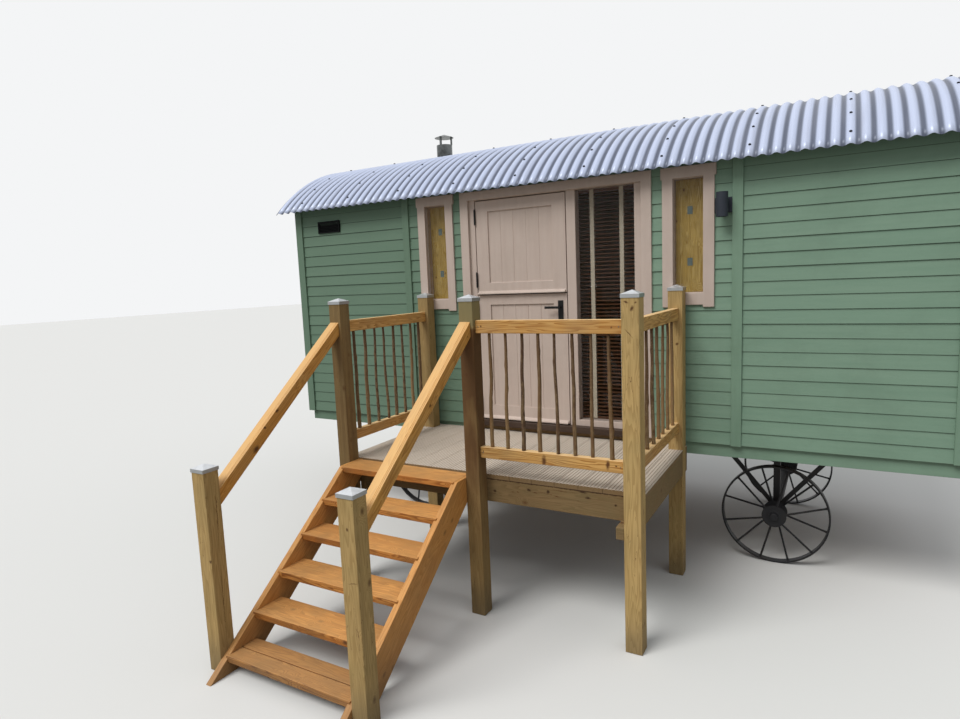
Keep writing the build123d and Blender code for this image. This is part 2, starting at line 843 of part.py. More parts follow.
def make_deck():
    """Joists, bearers and boards, notched round the two posts at the wall."""
    back = base_board_recess - seat_gap
    front = deck_front
    low = joist_top - joist_depth
    thick = joist_thickness
    frame = block(deck_left, deck_right, front, front + thick, low, joist_top)
    frame += block(deck_left, deck_right, back - thick, back, low, joist_top)
    span = deck_right - deck_left - thick
    for index in range(joist_count + 2):
        x = deck_left + span * index / (joist_count + 1)
        frame += block(x, x + thick, front, back, low, joist_top)
    left_bearer = deck_left + post_size
    right_bearer = deck_right - post_size - thick
    # The right bearer ends flush with its post, and the left one behind the stair's string
    for x, start in ((left_bearer, front), (right_bearer, post_front)):
        frame += block(x, x + thick, start, back, low - bearer_depth, low)
    for name in ("wall_left", "wall_right"):
        frame -= post_notch(name)
    save("deck_frame", frame)
    boards = []
    pitch = deck_board_width + deck_board_gap
    count = math.floor((back - front + deck_board_gap) / pitch)
    for index in range(count):
        y = front + index * pitch
        end = back if index == count - 1 else y + deck_board_width
        board = block(deck_left, deck_right, y, end, joist_top, deck_height)
        for name in ("wall_left", "wall_right"):
            board -= post_notch(name)
        boards.append(board)
    save("deck_boards", *boards)


def post_notch(name):
    """The room that a post at the wall takes out of the deck."""
    x, y = post_places[name]
    return block(x, x + post_size, y, y + post_size, 0, deck_height + 1)


def make_rails():
    """Top and bottom rails between the posts, with natural sticks between them."""
    inset = (post_size - rail_thickness) / 2
    top = deck_height + rail_height
    foot = deck_height + bottom_rail_height
    levels = ((top - rail_depth, top), (foot - bottom_rail_depth, foot))
    front_y = post_front + inset
    front_x0 = middle_post_left + post_size
    front_x1 = deck_right - post_size
    side_y0 = deck_front
    side_y1 = wall_post_back - post_size
    rails = []
    for low, high in levels:
        rails.append(block(front_x0, front_x1, front_y, front_y + rail_thickness, low, high))
        for x in (deck_left + inset, deck_right - post_size + inset):
            rails.append(block(x, x + rail_thickness, side_y0, side_y1, low, high))
    save("deck_rails", *rails)
    height = top - rail_depth - foot
    sticks = []
    thick_end = Plane.XY.offset(foot) * RegularPolygon(stick_foot_radius, stick_sides)
    thin_end = Plane.XY.offset(foot + height) * RegularPolygon(stick_top_radius, stick_sides)
    stick = loft([thick_end, thin_end], ruled=True)
    centre_y = front_y + rail_thickness / 2
    for index in range(front_stick_count):
        x = front_x0 + (front_x1 - front_x0) * (index + 0.75) / (front_stick_count + 0.5)
        sticks.append(Pos(x, centre_y, 0) * stick)
    sides = ((deck_left, left_stick_count), (deck_right - post_size, right_stick_count))
    for x, count in sides:
        for index in range(count):
            y = side_y0 + (side_y1 - side_y0) * (index + 0.75) / (count + 0.5)
            sticks.append(Pos(x + post_size / 2, y, 0) * stick)
    save("rail_sticks", *sticks)


def make_stair():
    """Two strings, six open treads housed in them and two sloping handrails."""
    drop = string_depth * math.hypot(1, stair_slope)
    profile = Polyline(
        (deck_front, first_tread_top),
        (string_front, first_tread_top),
        (string_foot, 0),
        (string_foot + drop / stair_slope, 0),
        (deck_front, first_tread_top + (deck_front - string_front) * stair_slope - drop),
        close=True,
    )
    face = make_face(profile)
    left_x = deck_left + post_size
    right_x = middle_post_left - string_thickness
    strings = [along_x(face, left_x, string_thickness), along_x(face, right_x, string_thickness)]
    treads = []
    x0 = left_x + string_thickness - housing_depth
    x1 = right_x + housing_depth
    for index in range(tread_count):
        front = first_tread_front - index * tread_going
        back = front + tread_depth
        top = first_tread_top - index * tread_rise
        low = top - tread_thickness
        housing = block(x0 - seat_gap, x1 + seat_gap, front - seat_gap, back + seat_gap,
                        low - seat_gap, top + seat_gap)
        strings = [string - housing for string in strings]
        if index < tread_count - 1:
            treads.append(block(x0, x1, front, back, low, top))
        else:
            board = (tread_depth - foot_tread_gap) / 2
            treads.append(block(x0, x1, front, front + board, low, top))
            treads.append(block(x0, x1, back - board, back, low, top))
    save("stair_strings", *strings)
    save("stair_treads", *treads)
    inset = (post_size - handrail_width) / 2 - handrail_offset
    newel_back = newel_front + post_size
    high = deck_height + rail_height - handrail_top_drop
    low = newel_height - handrail_foot_drop
    rake = (high - low) / (post_front - newel_back)
    deep = handrail_depth * math.hypot(1, rake)
    profile = Polyline(
        (post_front, high),
        (newel_back, low),
        (newel_back, low - deep),
        (post_front, high - deep),
        close=True,
    )
    face = make_face(profile)
    handrails = []
    for x in (deck_left, middle_post_left):
        handrails.append(along_x(face, x + inset, handrail_width))
    save("stair_handrails", *handrails)


make_chassis()
make_floor_and_base()
make_walls()
make_roof()
make_trims()
make_door_frame()
make_door()
make_windows()
make_blind()
make_vent()
make_lamp()
make_flue()
make_axle("axle_left", -wheel_place)
make_axle("axle_right", wheel_place)
make_wheels()
make_posts()
make_deck()
make_rails()
make_stair()
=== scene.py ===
import json
import math
import bmesh
import bpy
import numpy as np
from mathutils import Matrix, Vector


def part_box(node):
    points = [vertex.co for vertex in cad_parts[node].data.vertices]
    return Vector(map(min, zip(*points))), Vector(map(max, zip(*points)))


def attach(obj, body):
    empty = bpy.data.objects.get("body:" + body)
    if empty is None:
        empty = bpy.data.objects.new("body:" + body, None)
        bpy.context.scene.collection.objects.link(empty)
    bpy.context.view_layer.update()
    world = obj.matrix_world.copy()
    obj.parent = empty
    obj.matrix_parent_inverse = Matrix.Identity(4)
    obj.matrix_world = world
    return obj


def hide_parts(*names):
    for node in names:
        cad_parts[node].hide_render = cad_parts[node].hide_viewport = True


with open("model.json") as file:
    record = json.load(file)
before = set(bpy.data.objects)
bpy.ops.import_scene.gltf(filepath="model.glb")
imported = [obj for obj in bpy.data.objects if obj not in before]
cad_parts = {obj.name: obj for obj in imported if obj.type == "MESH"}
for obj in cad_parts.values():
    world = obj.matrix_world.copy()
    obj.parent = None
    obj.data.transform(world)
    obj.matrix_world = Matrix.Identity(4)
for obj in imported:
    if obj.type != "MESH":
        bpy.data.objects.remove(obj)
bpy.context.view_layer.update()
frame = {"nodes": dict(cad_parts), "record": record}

# A shepherd's hut with its deck and stair. Lengths are metres, X runs along the hut and Y from the door side back.


# Turns an sRGB hex colour into the linear values that a socket takes
def linear(hexCode):
    channels = np.array([int(hexCode[i:i + 2], 16) for i in (1, 3, 5)]) / 255
    dark = channels / 12.92
    bright = ((channels + 0.055) / 1.055) ** 2.4
    return tuple(float(c) for c in np.where(channels <= 0.04045, dark, bright)) + (1.0,)


# Adds one shader node: settings go on the node, and inputs hold values, sockets, or nodes for their first output
def addNode(tree, kind, inputs=None, **settings):
    node = tree.nodes.new("ShaderNode" + kind)
    for name, value in settings.items():
        setattr(node, name, value)
    for name, value in (inputs or {}).items():
        if isinstance(value, bpy.types.Node):
            value = value.outputs[0]
        if isinstance(value, bpy.types.NodeSocket):
            tree.links.new(value, node.inputs[name])
        else:
            node.inputs[name].default_value = value
    return node


# A new material with its shader's own sockets set
def startMaterial(name, sockets):
    material = bpy.data.materials.new(name)
    material.use_nodes = True
    shader = material.node_tree.nodes["Principled BSDF"]
    for socket, value in sockets.items():
        shader.inputs[socket].default_value = value
    return material, material.node_tree, shader


# Feeds a shader its colour and, where there is a height, a bump from it
def feedShader(tree, shader, colour, height=None, strength=0.0, distance=0.001):
    tree.links.new(colour, shader.inputs["Base Color"])
    if height is not None:
        bump = addNode(tree, "Bump", {"Height": height, "Strength": strength, "Distance": distance})
        tree.links.new(bump.outputs[0], shader.inputs["Normal"])


# The scale of a pattern whose features are width across the grain and width * stretch along it
def grainScale(width, stretch, axis):
    scale = [1 / width] * 3
    scale["XYZ".index(axis)] = 1 / (width * stretch)
    return scale


# The piece's own coordinates, moved for each separate board so that no two have the same grain, and its tone
def boardPlace(tree):
    here = addNode(tree, "TexCoord").outputs["Object"]
    piece = addNode(tree, "Attribute", attribute_name="piece").outputs["Fac"]
    moved = addNode(tree, "VectorMath", {0: piece, 1: (3.7, 5.3, 9.1), 2: here}, operation="MULTIPLY_ADD")
    shade = addNode(tree, "Attribute", attribute_name="shade").outputs["Fac"]
    return here, moved, shade


# Mixes a colour into another by a mask, which may be a number, a socket or a node
def tint(tree, colour, mask, other):
    colours = [linear(c) if isinstance(c, str) else c for c in (colour, other)]
    return addNode(tree, "Mix", {0: mask, 6: colours[0], 7: colours[1]}, data_type="RGBA").outputs[2]


# A noise whose place is scaled along each axis
def stretchedNoise(tree, place, scale, detail):
    spread = addNode(tree, "Mapping", {"Vector": place, "Scale": scale})
    return addNode(tree, "TexNoise", {"Vector": spread, "Scale": 1.0, "Detail": detail})


# The same noise turned into a mask between two of its levels
def stretchedMask(tree, place, scale, low, high, depth, detail=3.0):
    noise = stretchedNoise(tree, place, scale, detail)
    return addNode(tree, "MapRange", {"Value": noise, "From Min": low, "From Max": high, "To Max": depth})


# A mask from how far a face looks upwards
def upwardMask(tree, low, high, start, depth):
    facing = addNode(tree, "TexCoord").outputs["Normal"]
    upward = addNode(tree, "SeparateXYZ", {0: facing}).outputs[2]
    return addNode(tree, "MapRange", {"Value": upward, "From Min": low, "From Max": high, "To Min": start,
                   "To Max": depth})


# Knots, cracks and stains at known places: each is a soft ellipsoid with an uneven edge, of which the marks hold
# the centre, the half sizes and the turn in degrees
markLook = {"wobble": 0.012, "core": 0.35, "edge": 1.1}


def markMask(tree, here, marks):
    wobble = addNode(tree, "TexNoise", {"Vector": here, "Scale": 70.0, "Detail": 2.0})
    uneven = addNode(tree, "VectorMath", {0: wobble.outputs["Color"], 1: [markLook["wobble"]] * 3, 2: here},
                     operation="MULTIPLY_ADD")
    centred = addNode(tree, "VectorMath", {0: uneven, 1: [markLook["wobble"] / 2] * 3}, operation="SUBTRACT")
    total = None
    for centre, size, turn in marks:
        inside = addNode(tree, "Mapping", {"Vector": centred, "Location": centre, "Scale": size,
                         "Rotation": [math.radians(angle) for angle in turn]}, vector_type="TEXTURE")
        far = addNode(tree, "VectorMath", {0: inside}, operation="LENGTH").outputs["Value"]
        mask = addNode(tree, "MapRange", {"Value": far, "From Min": markLook["core"], "From Max": markLook["edge"],
                       "To Min": 1.0, "To Max": 0.0})
        if total is not None:
            mask = addNode(tree, "Math", {0: total, 1: mask}, operation="MAXIMUM")
        total = mask
    return total


# Widths of the patterns in wood, in metres, and how many times longer they are along the grain
woodSizes = {"band": (0.055, 14), "fibre": (0.0035, 28), "strip": (0.028, 40), "crack": (0.06, 16)}
splashLook = {"height": 0.3, "depth": 0.5, "colour": "#5A5142"}


# Softwood: growth bands are the contour lines of a noise stretched along the grain, they bend round the knots,
# and soft strips, finer fibres, drying cracks and weathering lie over them
def timberMaterial(name, finish):
    axis = finish["grain"]
    scales = {pattern: grainScale(*size, axis) for pattern, size in woodSizes.items()}
    material, tree, shader = startMaterial(name, {"Roughness": finish["roughness"], "Specular IOR Level": 0.3})
    here, place, shade = boardPlace(tree)
    if finish["slope"]:
        place = addNode(tree, "Mapping", {"Vector": place, "Rotation": (-math.radians(finish["slope"]), 0, 0)})

    knotPlace = addNode(tree, "Mapping", {"Vector": place, "Scale": grainScale(finish["knotCell"], 1.5, axis)})
    knots = addNode(tree, "TexVoronoi", {"Vector": knotPlace, "Scale": 1.0})
    chance = addNode(tree, "SeparateColor", {0: knots.outputs["Color"]})
    kept = addNode(tree, "Math", {0: chance, 1: 1 - finish["knotShare"]}, operation="GREATER_THAN")
    reach = addNode(tree, "MapRange", {"Value": knots, "From Max": 0.6, "To Min": 1.0, "To Max": 0.0},
                    interpolation_type="SMOOTHSTEP")
    pull = addNode(tree, "Math", {0: reach, 1: kept}, operation="MULTIPLY")
    core = addNode(tree, "MapRange", {"Value": knots, "From Min": 0.04, "From Max": 0.22, "To Min": 1.0,
                   "To Max": 0.0})
    knotMask = addNode(tree, "Math", {0: core, 1: kept}, operation="MULTIPLY")

    slow = stretchedNoise(tree, place, scales["band"], 2.0)
    bent = addNode(tree, "Math", {0: pull, 1: 0.35, 2: slow}, operation="MULTIPLY_ADD")
    bands = addNode(tree, "Math", {0: bent, 1: finish["bands"]}, operation="MULTIPLY")
    ramp = addNode(tree, "Math", {0: bands}, operation="FRACT")
    lateWood = addNode(tree, "MapRange", {"Value": ramp, "From Min": 0.25, "From Max": 0.97},
                       interpolation_type="SMOOTHSTEP")
    fibres = stretchedNoise(tree, place, scales["fibre"], 3.0)
    banded = addNode(tree, "Math", {0: lateWood, 1: finish["bandDepth"]}, operation="MULTIPLY")
    tone = addNode(tree, "Math", {0: fibres, 1: finish["fibreDepth"], 2: banded}, operation="MULTIPLY_ADD",
                   use_clamp=True)
    colour = tint(tree, finish["light"], tone, finish["dark"])

    strips = stretchedMask(tree, place, scales["strip"], 0.42, 0.66, finish["stripDepth"], 1.0)
    share = addNode(tree, "Math", {0: shade, 1: finish["boardDepth"], 2: strips}, operation="MULTIPLY_ADD",
                    use_clamp=True)
    colour = tint(tree, colour, share, finish["other"])
    colour = tint(tree, colour, knotMask, finish["knot"])

    crackNoise = stretchedNoise(tree, place, scales["crack"], 4.0)
    level = addNode(tree, "Math", {0: crackNoise, 1: 0.5, 2: finish["crackWidth"]}, operation="COMPARE")
    broken = addNode(tree, "Math", {0: slow, 1: 0.5}, operation="GREATER_THAN")
    cracks = addNode(tree, "Math", {0: level, 1: broken}, operation="MULTIPLY")
    colour = tint(tree, colour, cracks, finish["knot"])

    weather = stretchedMask(tree, place, [6.0] * 3, 0.42, 0.68, finish["weatherDepth"], 5.0)
    colour = tint(tree, colour, weather, finish["weather"])
    height = addNode(tree, "SeparateXYZ", {0: here}).outputs[2]
    if finish["stained"]:
        colour = postStains(tree, colour, here, height)
    # Tops are paler, partly bleached by the weather and partly a painted highlight where light falls from above
    if finish["topBleachAndHighlightDepth"]:
        colour = tint(tree, colour, upwardMask(tree, 0.45, 0.7, 0.0, finish["topBleachAndHighlightDepth"]), finish["top"])
    splash = addNode(tree, "MapRange", {"Value": height, "From Max": splashLook["height"],
                     "To Min": splashLook["depth"], "To Max": 0.0}, interpolation_type="SMOOTHSTEP")
    colour = tint(tree, colour, splash, splashLook["colour"])
    if finish["marks"]:
        colour = tint(tree, colour, markMask(tree, here, finish["marks"]), finish["markColour"])
    sunk = addNode(tree, "Math", {0: cracks, 1: -1.5, 2: tone}, operation="MULTIPLY_ADD")
    feedShader(tree, shader, colour, sunk, finish["bump"], 0.0012)
    return material


# Where preservative and rain have darkened a post below its rail and algae has greened its top, each by the
# strength that the post's own attributes hold
def postStains(tree, colour, here, height):
    stain = addNode(tree, "Attribute", attribute_name="stain").outputs["Fac"]
    algae = addNode(tree, "Attribute", attribute_name="algae").outputs["Fac"]
    edge = stainLook["edge"]
    cloud = stretchedMask(tree, here, (14.0, 14.0, 3.0), 0.3, 0.7, 0.5)
    below = addNode(tree, "MapRange", {"Value": height, "From Min": edge - 0.03, "From Max": edge, "To Min": 1.0,
                    "To Max": 0.0})
    fade = addNode(tree, "MapRange", {"Value": height, "From Min": stainLook["foot"], "From Max": edge - 0.2,
                   "To Min": 0.35, "To Max": 1.0})
    strength = addNode(tree, "Math", {0: stain, 1: fade}, operation="MULTIPLY")
    covered = addNode(tree, "Math", {0: strength, 1: below}, operation="MULTIPLY")
    patchy = addNode(tree, "Math", {0: covered, 1: cloud, 2: covered}, operation="MULTIPLY_ADD", use_clamp=True)
    colour = tint(tree, colour, patchy, stainLook["brown"])
    above = addNode(tree, "Math", {0: 1.0, 1: below}, operation="SUBTRACT")
    green = addNode(tree, "Math", {0: above, 1: algae}, operation="MULTIPLY")
    return tint(tree, colour, green, stainLook["green"])


# Painted shade that darkens the paint towards the hut's left end, from one place along it to another, and a painted
# shadow line in the laps of the boards
wallLook = {"fullShade": -1.2, "open": 0.6, "leftShadeDepth": 0.62, "lapStart": 0.955, "lapEnd": 0.985,
            "lapShadowDepth": 0.85, "lapShadowColour": "#26302A"}


# Opaque paint on timber: the grain shows only as fine ridges and faint streaks, with dirt and small colour changes
def paintMaterial(name, finish):
    axis = finish["grain"]
    material, tree, shader = startMaterial(name, {"Roughness": finish["roughness"], "Specular IOR Level": 0.35})
    here, place, shade = boardPlace(tree)
    fibres = stretchedNoise(tree, place, grainScale(0.004, 30, axis), 3.0)
    streaks = stretchedMask(tree, place, grainScale(0.03, 12, axis), 0.3, 0.7, 0.6, 4.0)
    share = addNode(tree, "Math", {0: shade, 1: 0.4, 2: streaks}, operation="MULTIPLY_ADD")
    colour = tint(tree, finish["paint"], share, finish["faded"])
    cloud = addNode(tree, "TexNoise", {"Vector": here, "Scale": 2.3, "Detail": 6.0, "Roughness": 0.7})
    dirt = addNode(tree, "MapRange", {"Value": cloud, "From Min": 0.48, "From Max": 0.75,
                   "To Max": finish["dirtDepth"]})
    colour = tint(tree, colour, dirt, finish["dirt"])
    if finish["paintedShadeColour"]:
        # Painted shade: the paint darkens towards the hut's left end
        along = addNode(tree, "SeparateXYZ", {0: here})
        leftShade = addNode(tree, "MapRange", {"Value": along, "From Min": wallLook["fullShade"],
                          "From Max": wallLook["open"], "To Min": wallLook["leftShadeDepth"], "To Max": 0.0},
                          interpolation_type="SMOOTHSTEP")
        colour = tint(tree, colour, leftShade, finish["paintedShadeColour"])
        # A painted shadow line at the head of each board, where the board above laps over it
        lap = addNode(tree, "Attribute", attribute_name="lap").outputs["Fac"]
        joint = addNode(tree, "MapRange", {"Value": lap, "From Min": wallLook["lapStart"],
                        "From Max": wallLook["lapEnd"], "To Max": wallLook["lapShadowDepth"]})
        colour = tint(tree, colour, joint, wallLook["lapShadowColour"])
    feedShader(tree, shader, colour, fibres, finish["bump"])
    return material


# Metal under paint or bare: an even coat with grime in large clouds, painted shade in the grime's colour on sides and
# undersides where a finish asks for it, and a little orange peel
def metalMaterial(name, finish):
    sockets = {"Metallic": finish["metallic"], "Roughness": finish["roughness"],
               "Specular IOR Level": finish["specular"]}
    material, tree, shader = startMaterial(name, sockets)
    here = addNode(tree, "TexCoord").outputs["Object"]
    cloud = addNode(tree, "TexNoise", {"Vector": here, "Scale": finish["cloudScale"], "Detail": 6.0,
                    "Roughness": 0.65})
    share = addNode(tree, "MapRange", {"Value": cloud, "From Min": 0.45, "From Max": 0.72,
                    "To Max": finish["grimeDepth"]})
    colour = tint(tree, finish["coat"], share, finish["grime"])
    if finish["sideShadeDepth"]:
        # Painted shade: faces that look sideways or down take the grime colour
        colour = tint(tree, colour, upwardMask(tree, 0.3, 0.6, finish["sideShadeDepth"], 0.0), finish["grime"])
    feedShader(tree, shader, colour, stretchedNoise(tree, here, finish["grainScale"], 2.0), finish["bump"], 0.0006)
    return material


# Coated corrugated steel: a low sheen, with dark painted shade lying in the troughs and faint runs down the slope
def roofMaterial(name, finish):
    material, tree, shader = startMaterial(name, {"Roughness": 0.42, "Specular IOR Level": 0.5, "Metallic": 0.15})
    here = addNode(tree, "TexCoord").outputs["Object"]
    across = addNode(tree, "SeparateXYZ", {0: here})
    phase = addNode(tree, "Math", {0: across, 1: -finish["start"]}, operation="ADD")
    turned = addNode(tree, "Math", {0: phase, 1: 2 * math.pi / finish["pitch"]}, operation="MULTIPLY")
    wave = addNode(tree, "Math", {0: turned}, operation="COSINE")
    # Painted shade: the dark colour goes into the troughs of the wave, where the crests would shade them
    trough = addNode(tree, "MapRange", {"Value": wave, "From Min": -0.25, "From Max": 0.95},
                     interpolation_type="SMOOTHSTEP")
    dust = addNode(tree, "Math", {0: trough, 1: 0.9}, operation="MULTIPLY")
    colour = tint(tree, finish["coat"], dust, finish["dust"])
    streak = stretchedMask(tree, here, (28.0, 1.6, 1.6), 0.5, 0.78, 0.3, 5.0)
    feedShader(tree, shader, tint(tree, colour, streak, finish["streak"]))
    return material


# Numbers the separate solids of a mesh: labels spread along the edges until none changes
def solidNumbers(points, edges):
    keys, inverse = np.unique(np.round(points, 5), axis=0, return_inverse=True)
    inverse = inverse.ravel()
    label = np.arange(len(keys))
    ends = inverse[edges]
    while True:
        low = np.minimum(label[ends[:, 0]], label[ends[:, 1]])
        spread = label.copy()
        np.minimum.at(spread, ends[:, 0], low)
        np.minimum.at(spread, ends[:, 1], low)
        spread = spread[spread]
        if np.array_equal(spread, label):
            break
        label = spread
    return np.unique(label[inverse], return_inverse=True)[1].ravel()


# Points and edge ends of a mesh as arrays
def meshArrays(mesh):
    points = np.zeros(len(mesh.vertices) * 3)
    mesh.vertices.foreach_get("co", points)
    edges = np.zeros(len(mesh.edges) * 2, dtype=int)
    mesh.edges.foreach_get("vertices", edges)
    return points.reshape(-1, 3), edges.reshape(-1, 2)


# Lowest and highest corner of a CAD node
def nodeBox(node):
    return [np.array(corner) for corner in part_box(node)]


# Lowest and highest corner of each separate solid of a CAD node
def solidBoxes(node):
    points, edges = meshArrays(frame["nodes"][node].data)
    numbers = solidNumbers(points, edges)
    return [(points[numbers == n].min(axis=0), points[numbers == n].max(axis=0)) for n in range(numbers.max() + 1)]


# Writes one number for each point of a mesh, which the materials read
def setAttribute(mesh, name, values):
    attribute = mesh.attributes.get(name) or mesh.attributes.new(name, "FLOAT", "POINT")
    attribute.data.foreach_set("value", np.asarray(values, dtype=np.float32))


# Gives each separate solid of a mesh its own number and a tone from 0 to 1 of its own
def numberPieces(mesh):
    points, edges = meshArrays(mesh)
    numbers = solidNumbers(points, edges)
    setAttribute(mesh, "piece", numbers)
    setAttribute(mesh, "shade", np.random.default_rng(len(mesh.name)).random(numbers.max() + 1)[numbers])


# Puts a mesh into the scene with its material, the body that it moves with and its slot
def placePiece(name, mesh, material, body, smooth=False):
    piece = bpy.data.objects.new(name, mesh)
    bpy.context.scene.collection.objects.link(piece)
    mesh.materials.append(material)
    mesh.polygons.foreach_set("use_smooth", [smooth] * len(mesh.polygons))
    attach(piece, body)
    return piece


# Turns the shells of a mesh outwards
def turnOutwards(mesh):
    work = bmesh.new()
    work.from_mesh(mesh)
    bmesh.ops.recalc_face_normals(work, faces=work.faces[:])
    work.to_mesh(mesh)
    work.free()


# A mesh from points and faces, with its shells turned outwards
def shellMesh(name, points, faces):
    mesh = bpy.data.meshes.new(name)
    mesh.from_pydata(np.asarray(points).tolist(), [], faces)
    turnOutwards(mesh)
    numberPieces(mesh)
    return mesh


# Joins several (points, faces) shapes into one
def joinShapes(shapes):
    points = []
    faces = []
    count = 0
    for shapePoints, shapeFaces in shapes:
        points.append(np.asarray(shapePoints).reshape(-1, 3))
        faces += [[count + corner for corner in face] for face in shapeFaces]
        count += len(points[-1])
    return np.concatenate(points), faces


# Joins shapes into one mesh and puts it into the scene
def placeShapes(name, shapes, material, body, smooth=False):
    return placePiece(name, shellMesh(name, *joinShapes(shapes)), material, body, smooth)


# Skins rows of points, each row a closed section: a quad joins each pair of neighbours in two rows, and the
# first and last sections are closed with a flat cap
def skinSections(sections, looped=False):
    rows, around = sections.shape[:2]
    first = np.arange(rows if looped else rows - 1)[:, None] * around
    second = (first + around) % (rows * around)
    near = np.arange(around)[None, :]
    far = (near + 1) % around
    quads = np.stack([first + near, first + far, second + far, second + near], axis=-1).reshape(-1, 4)
    faces = quads.tolist()
    if not looped:
        faces += [list(range(around))[::-1], list(range((rows - 1) * around, rows * around))]
    return sections.reshape(-1, 3), faces


# The four corners of a rectangle
def rectangle(low, high):
    return [(low[0], low[1]), (high[0], low[1]), (high[0], high[1]), (low[0], high[1])]


# The two axes of a profile that is carried or turned along an axis
profileAxes = {"X": (1, 2), "Y": (0, 2), "Z": (0, 1)}


# Carries a flat profile straight along one axis between two places
def straightPrism(profile, axis, start, end):
    profile = np.asarray(profile, dtype=float)
    sections = np.zeros((2, len(profile), 3))
    sections[:, :, profileAxes[axis]] = profile
    sections[0, :, "XYZ".index(axis)] = start
    sections[1, :, "XYZ".index(axis)] = end
    return skinSections(sections)


# Turns a profile of (radius, distance) round an axis through a centre
def turnedShape(profile, centre, axis, steps, looped=False):
    profile = np.asarray(profile, dtype=float)
    turn = np.linspace(0, 2 * np.pi, steps, endpoint=False)
    first, second = profileAxes[axis]
    sections = np.zeros((len(profile), steps, 3))
    sections[:, :, first] = profile[:, :1] * np.cos(turn)
    sections[:, :, second] = profile[:, :1] * np.sin(turn)
    sections[:, :, "XYZ".index(axis)] = profile[:, 1:]
    return skinSections(sections + np.asarray(centre), looped)


# Round bars between pairs of points: the profile gives (share of the length, radius), and each ring is drawn with
# two directions square to its own bar
def barsBetween(starts, ends, profile, around):
    starts = np.asarray(starts, dtype=float)
    along = np.asarray(ends, dtype=float) - starts
    unit = along / np.linalg.norm(along, axis=1, keepdims=True)
    helper = np.where(abs(unit[:, :1]) > 0.9, [[0.0, 1.0, 0.0]], [[1.0, 0.0, 0.0]])
    side = np.cross(helper, unit)
    side /= np.linalg.norm(side, axis=1, keepdims=True)
    other = np.cross(unit, side)
    share, radius = np.array(profile, dtype=float).T
    turn = np.linspace(0, 2 * np.pi, around, endpoint=False)
    ring = side[:, None, :] * np.cos(turn)[None, :, None] + other[:, None, :] * np.sin(turn)[None, :, None]
    sections = (starts[:, None, None, :] + along[:, None, None, :] * share[None, :, None, None]
                + ring[:, None, :, :] * radius[None, :, None, None])
    return joinShapes([skinSections(section) for section in sections])


# Domed screw heads: short round bars that start a little inside the surface and close over it
def screwHeads(places, directions, radius, height):
    places = np.asarray(places, dtype=float)
    out = np.asarray(directions, dtype=float)
    profile = [(0.0, radius), (0.6, radius), (0.9, radius * 0.7), (1.0, radius * 0.15)]
    return barsBetween(places - out * 0.001, places + out * height, profile, 8)


# Rounds a piece's sharp edges
def easeEdges(piece, width, angle):
    bevel = piece.modifiers.new("easedEdges", "BEVEL")
    bevel.width = width
    bevel.segments = 2
    bevel.limit_method = "ANGLE"
    bevel.angle_limit = math.radians(angle)


# A copy of a CAD node with its triangles merged into flat faces and its edges eased, which stands for the node
def easedCopy(node, material, width):
    mesh = frame["nodes"][node].data.copy()
    mesh.name = node + "_eased"
    mesh.materials.clear()
    work = bmesh.new()
    work.from_mesh(mesh)
    bmesh.ops.remove_doubles(work, verts=work.verts[:], dist=1e-5)
    flat = math.radians(1)
    bmesh.ops.dissolve_limit(work, angle_limit=flat, verts=work.verts[:], edges=work.edges[:])
    work.to_mesh(mesh)
    work.free()
    numberPieces(mesh)
    piece = placePiece(node + "_eased", mesh, material, bodyOf[node])
    easeEdges(piece, width, 35)
    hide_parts(node)
    return piece


record = frame["record"]
bodyOf = {node: body for body, nodes in record["behaviour"]["bodies"].items() for node in nodes}
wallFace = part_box("front_wall_left")[0][1]
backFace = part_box("back_wall")[1][1]
print("frame loaded", len(frame["nodes"]), "nodes")

# The camera stands where the photograph was taken, measured from the front wall's face
cameraPlace = {"x": 1.8474, "beforeWall": 4.3696, "z": 2.0716, "yaw": 29.6226, "pitch": -7.0890, "roll": -2.3960,
               "lens": 23.72, "sensor": 36}


def makeCamera():
    yaw, pitch, roll = (math.radians(cameraPlace[key]) for key in ("yaw", "pitch", "roll"))
    forward = np.array([-math.sin(yaw) * math.cos(pitch), math.cos(yaw) * math.cos(pitch), math.sin(pitch)])
    right = np.array([math.cos(yaw), math.sin(yaw), 0])
    up = np.cross(right, forward)
    columns = [math.cos(roll) * right + math.sin(roll) * up, -math.sin(roll) * right + math.cos(roll) * up, -forward]
    camera = bpy.data.objects.new("camera", bpy.data.cameras.new("camera"))
    bpy.context.scene.collection.objects.link(camera)
    matrix = Matrix(np.array(columns).T.tolist()).to_4x4()
    matrix.translation = (cameraPlace["x"], wallFace - cameraPlace["beforeWall"], cameraPlace["z"])
    camera.matrix_world = matrix
    camera.data.lens = cameraPlace["lens"]
    camera.data.sensor_width = cameraPlace["sensor"]
    bpy.context.scene.camera = camera


# Plain soft light: a pale sky that is stronger overhead, and one wide lamp high at the front left
stageLook = {"sky": "#F0F3F8", "horizonStrength": 0.26, "zenithStrength": 1.0, "seenSky": "#F4F5F6",
             "seenFloor": "#D3D2CE", "litFloor": "#7E7B74", "lampStrength": 2.3, "lampAngle": 30, "lampTilt": 37,
             "lampTurn": -24, "floorReach": 60.0}


# 1 where a surface is seen straight, in a gloss or through glass, and 0 where it only gives light
def seenMask(tree):
    rays = addNode(tree, "LightPath").outputs
    either = addNode(tree, "Math", {0: rays["Is Camera Ray"], 1: rays["Is Glossy Ray"]}, operation="MAXIMUM")
    return addNode(tree, "Math", {0: either, 1: rays["Is Transmission Ray"]}, operation="MAXIMUM")


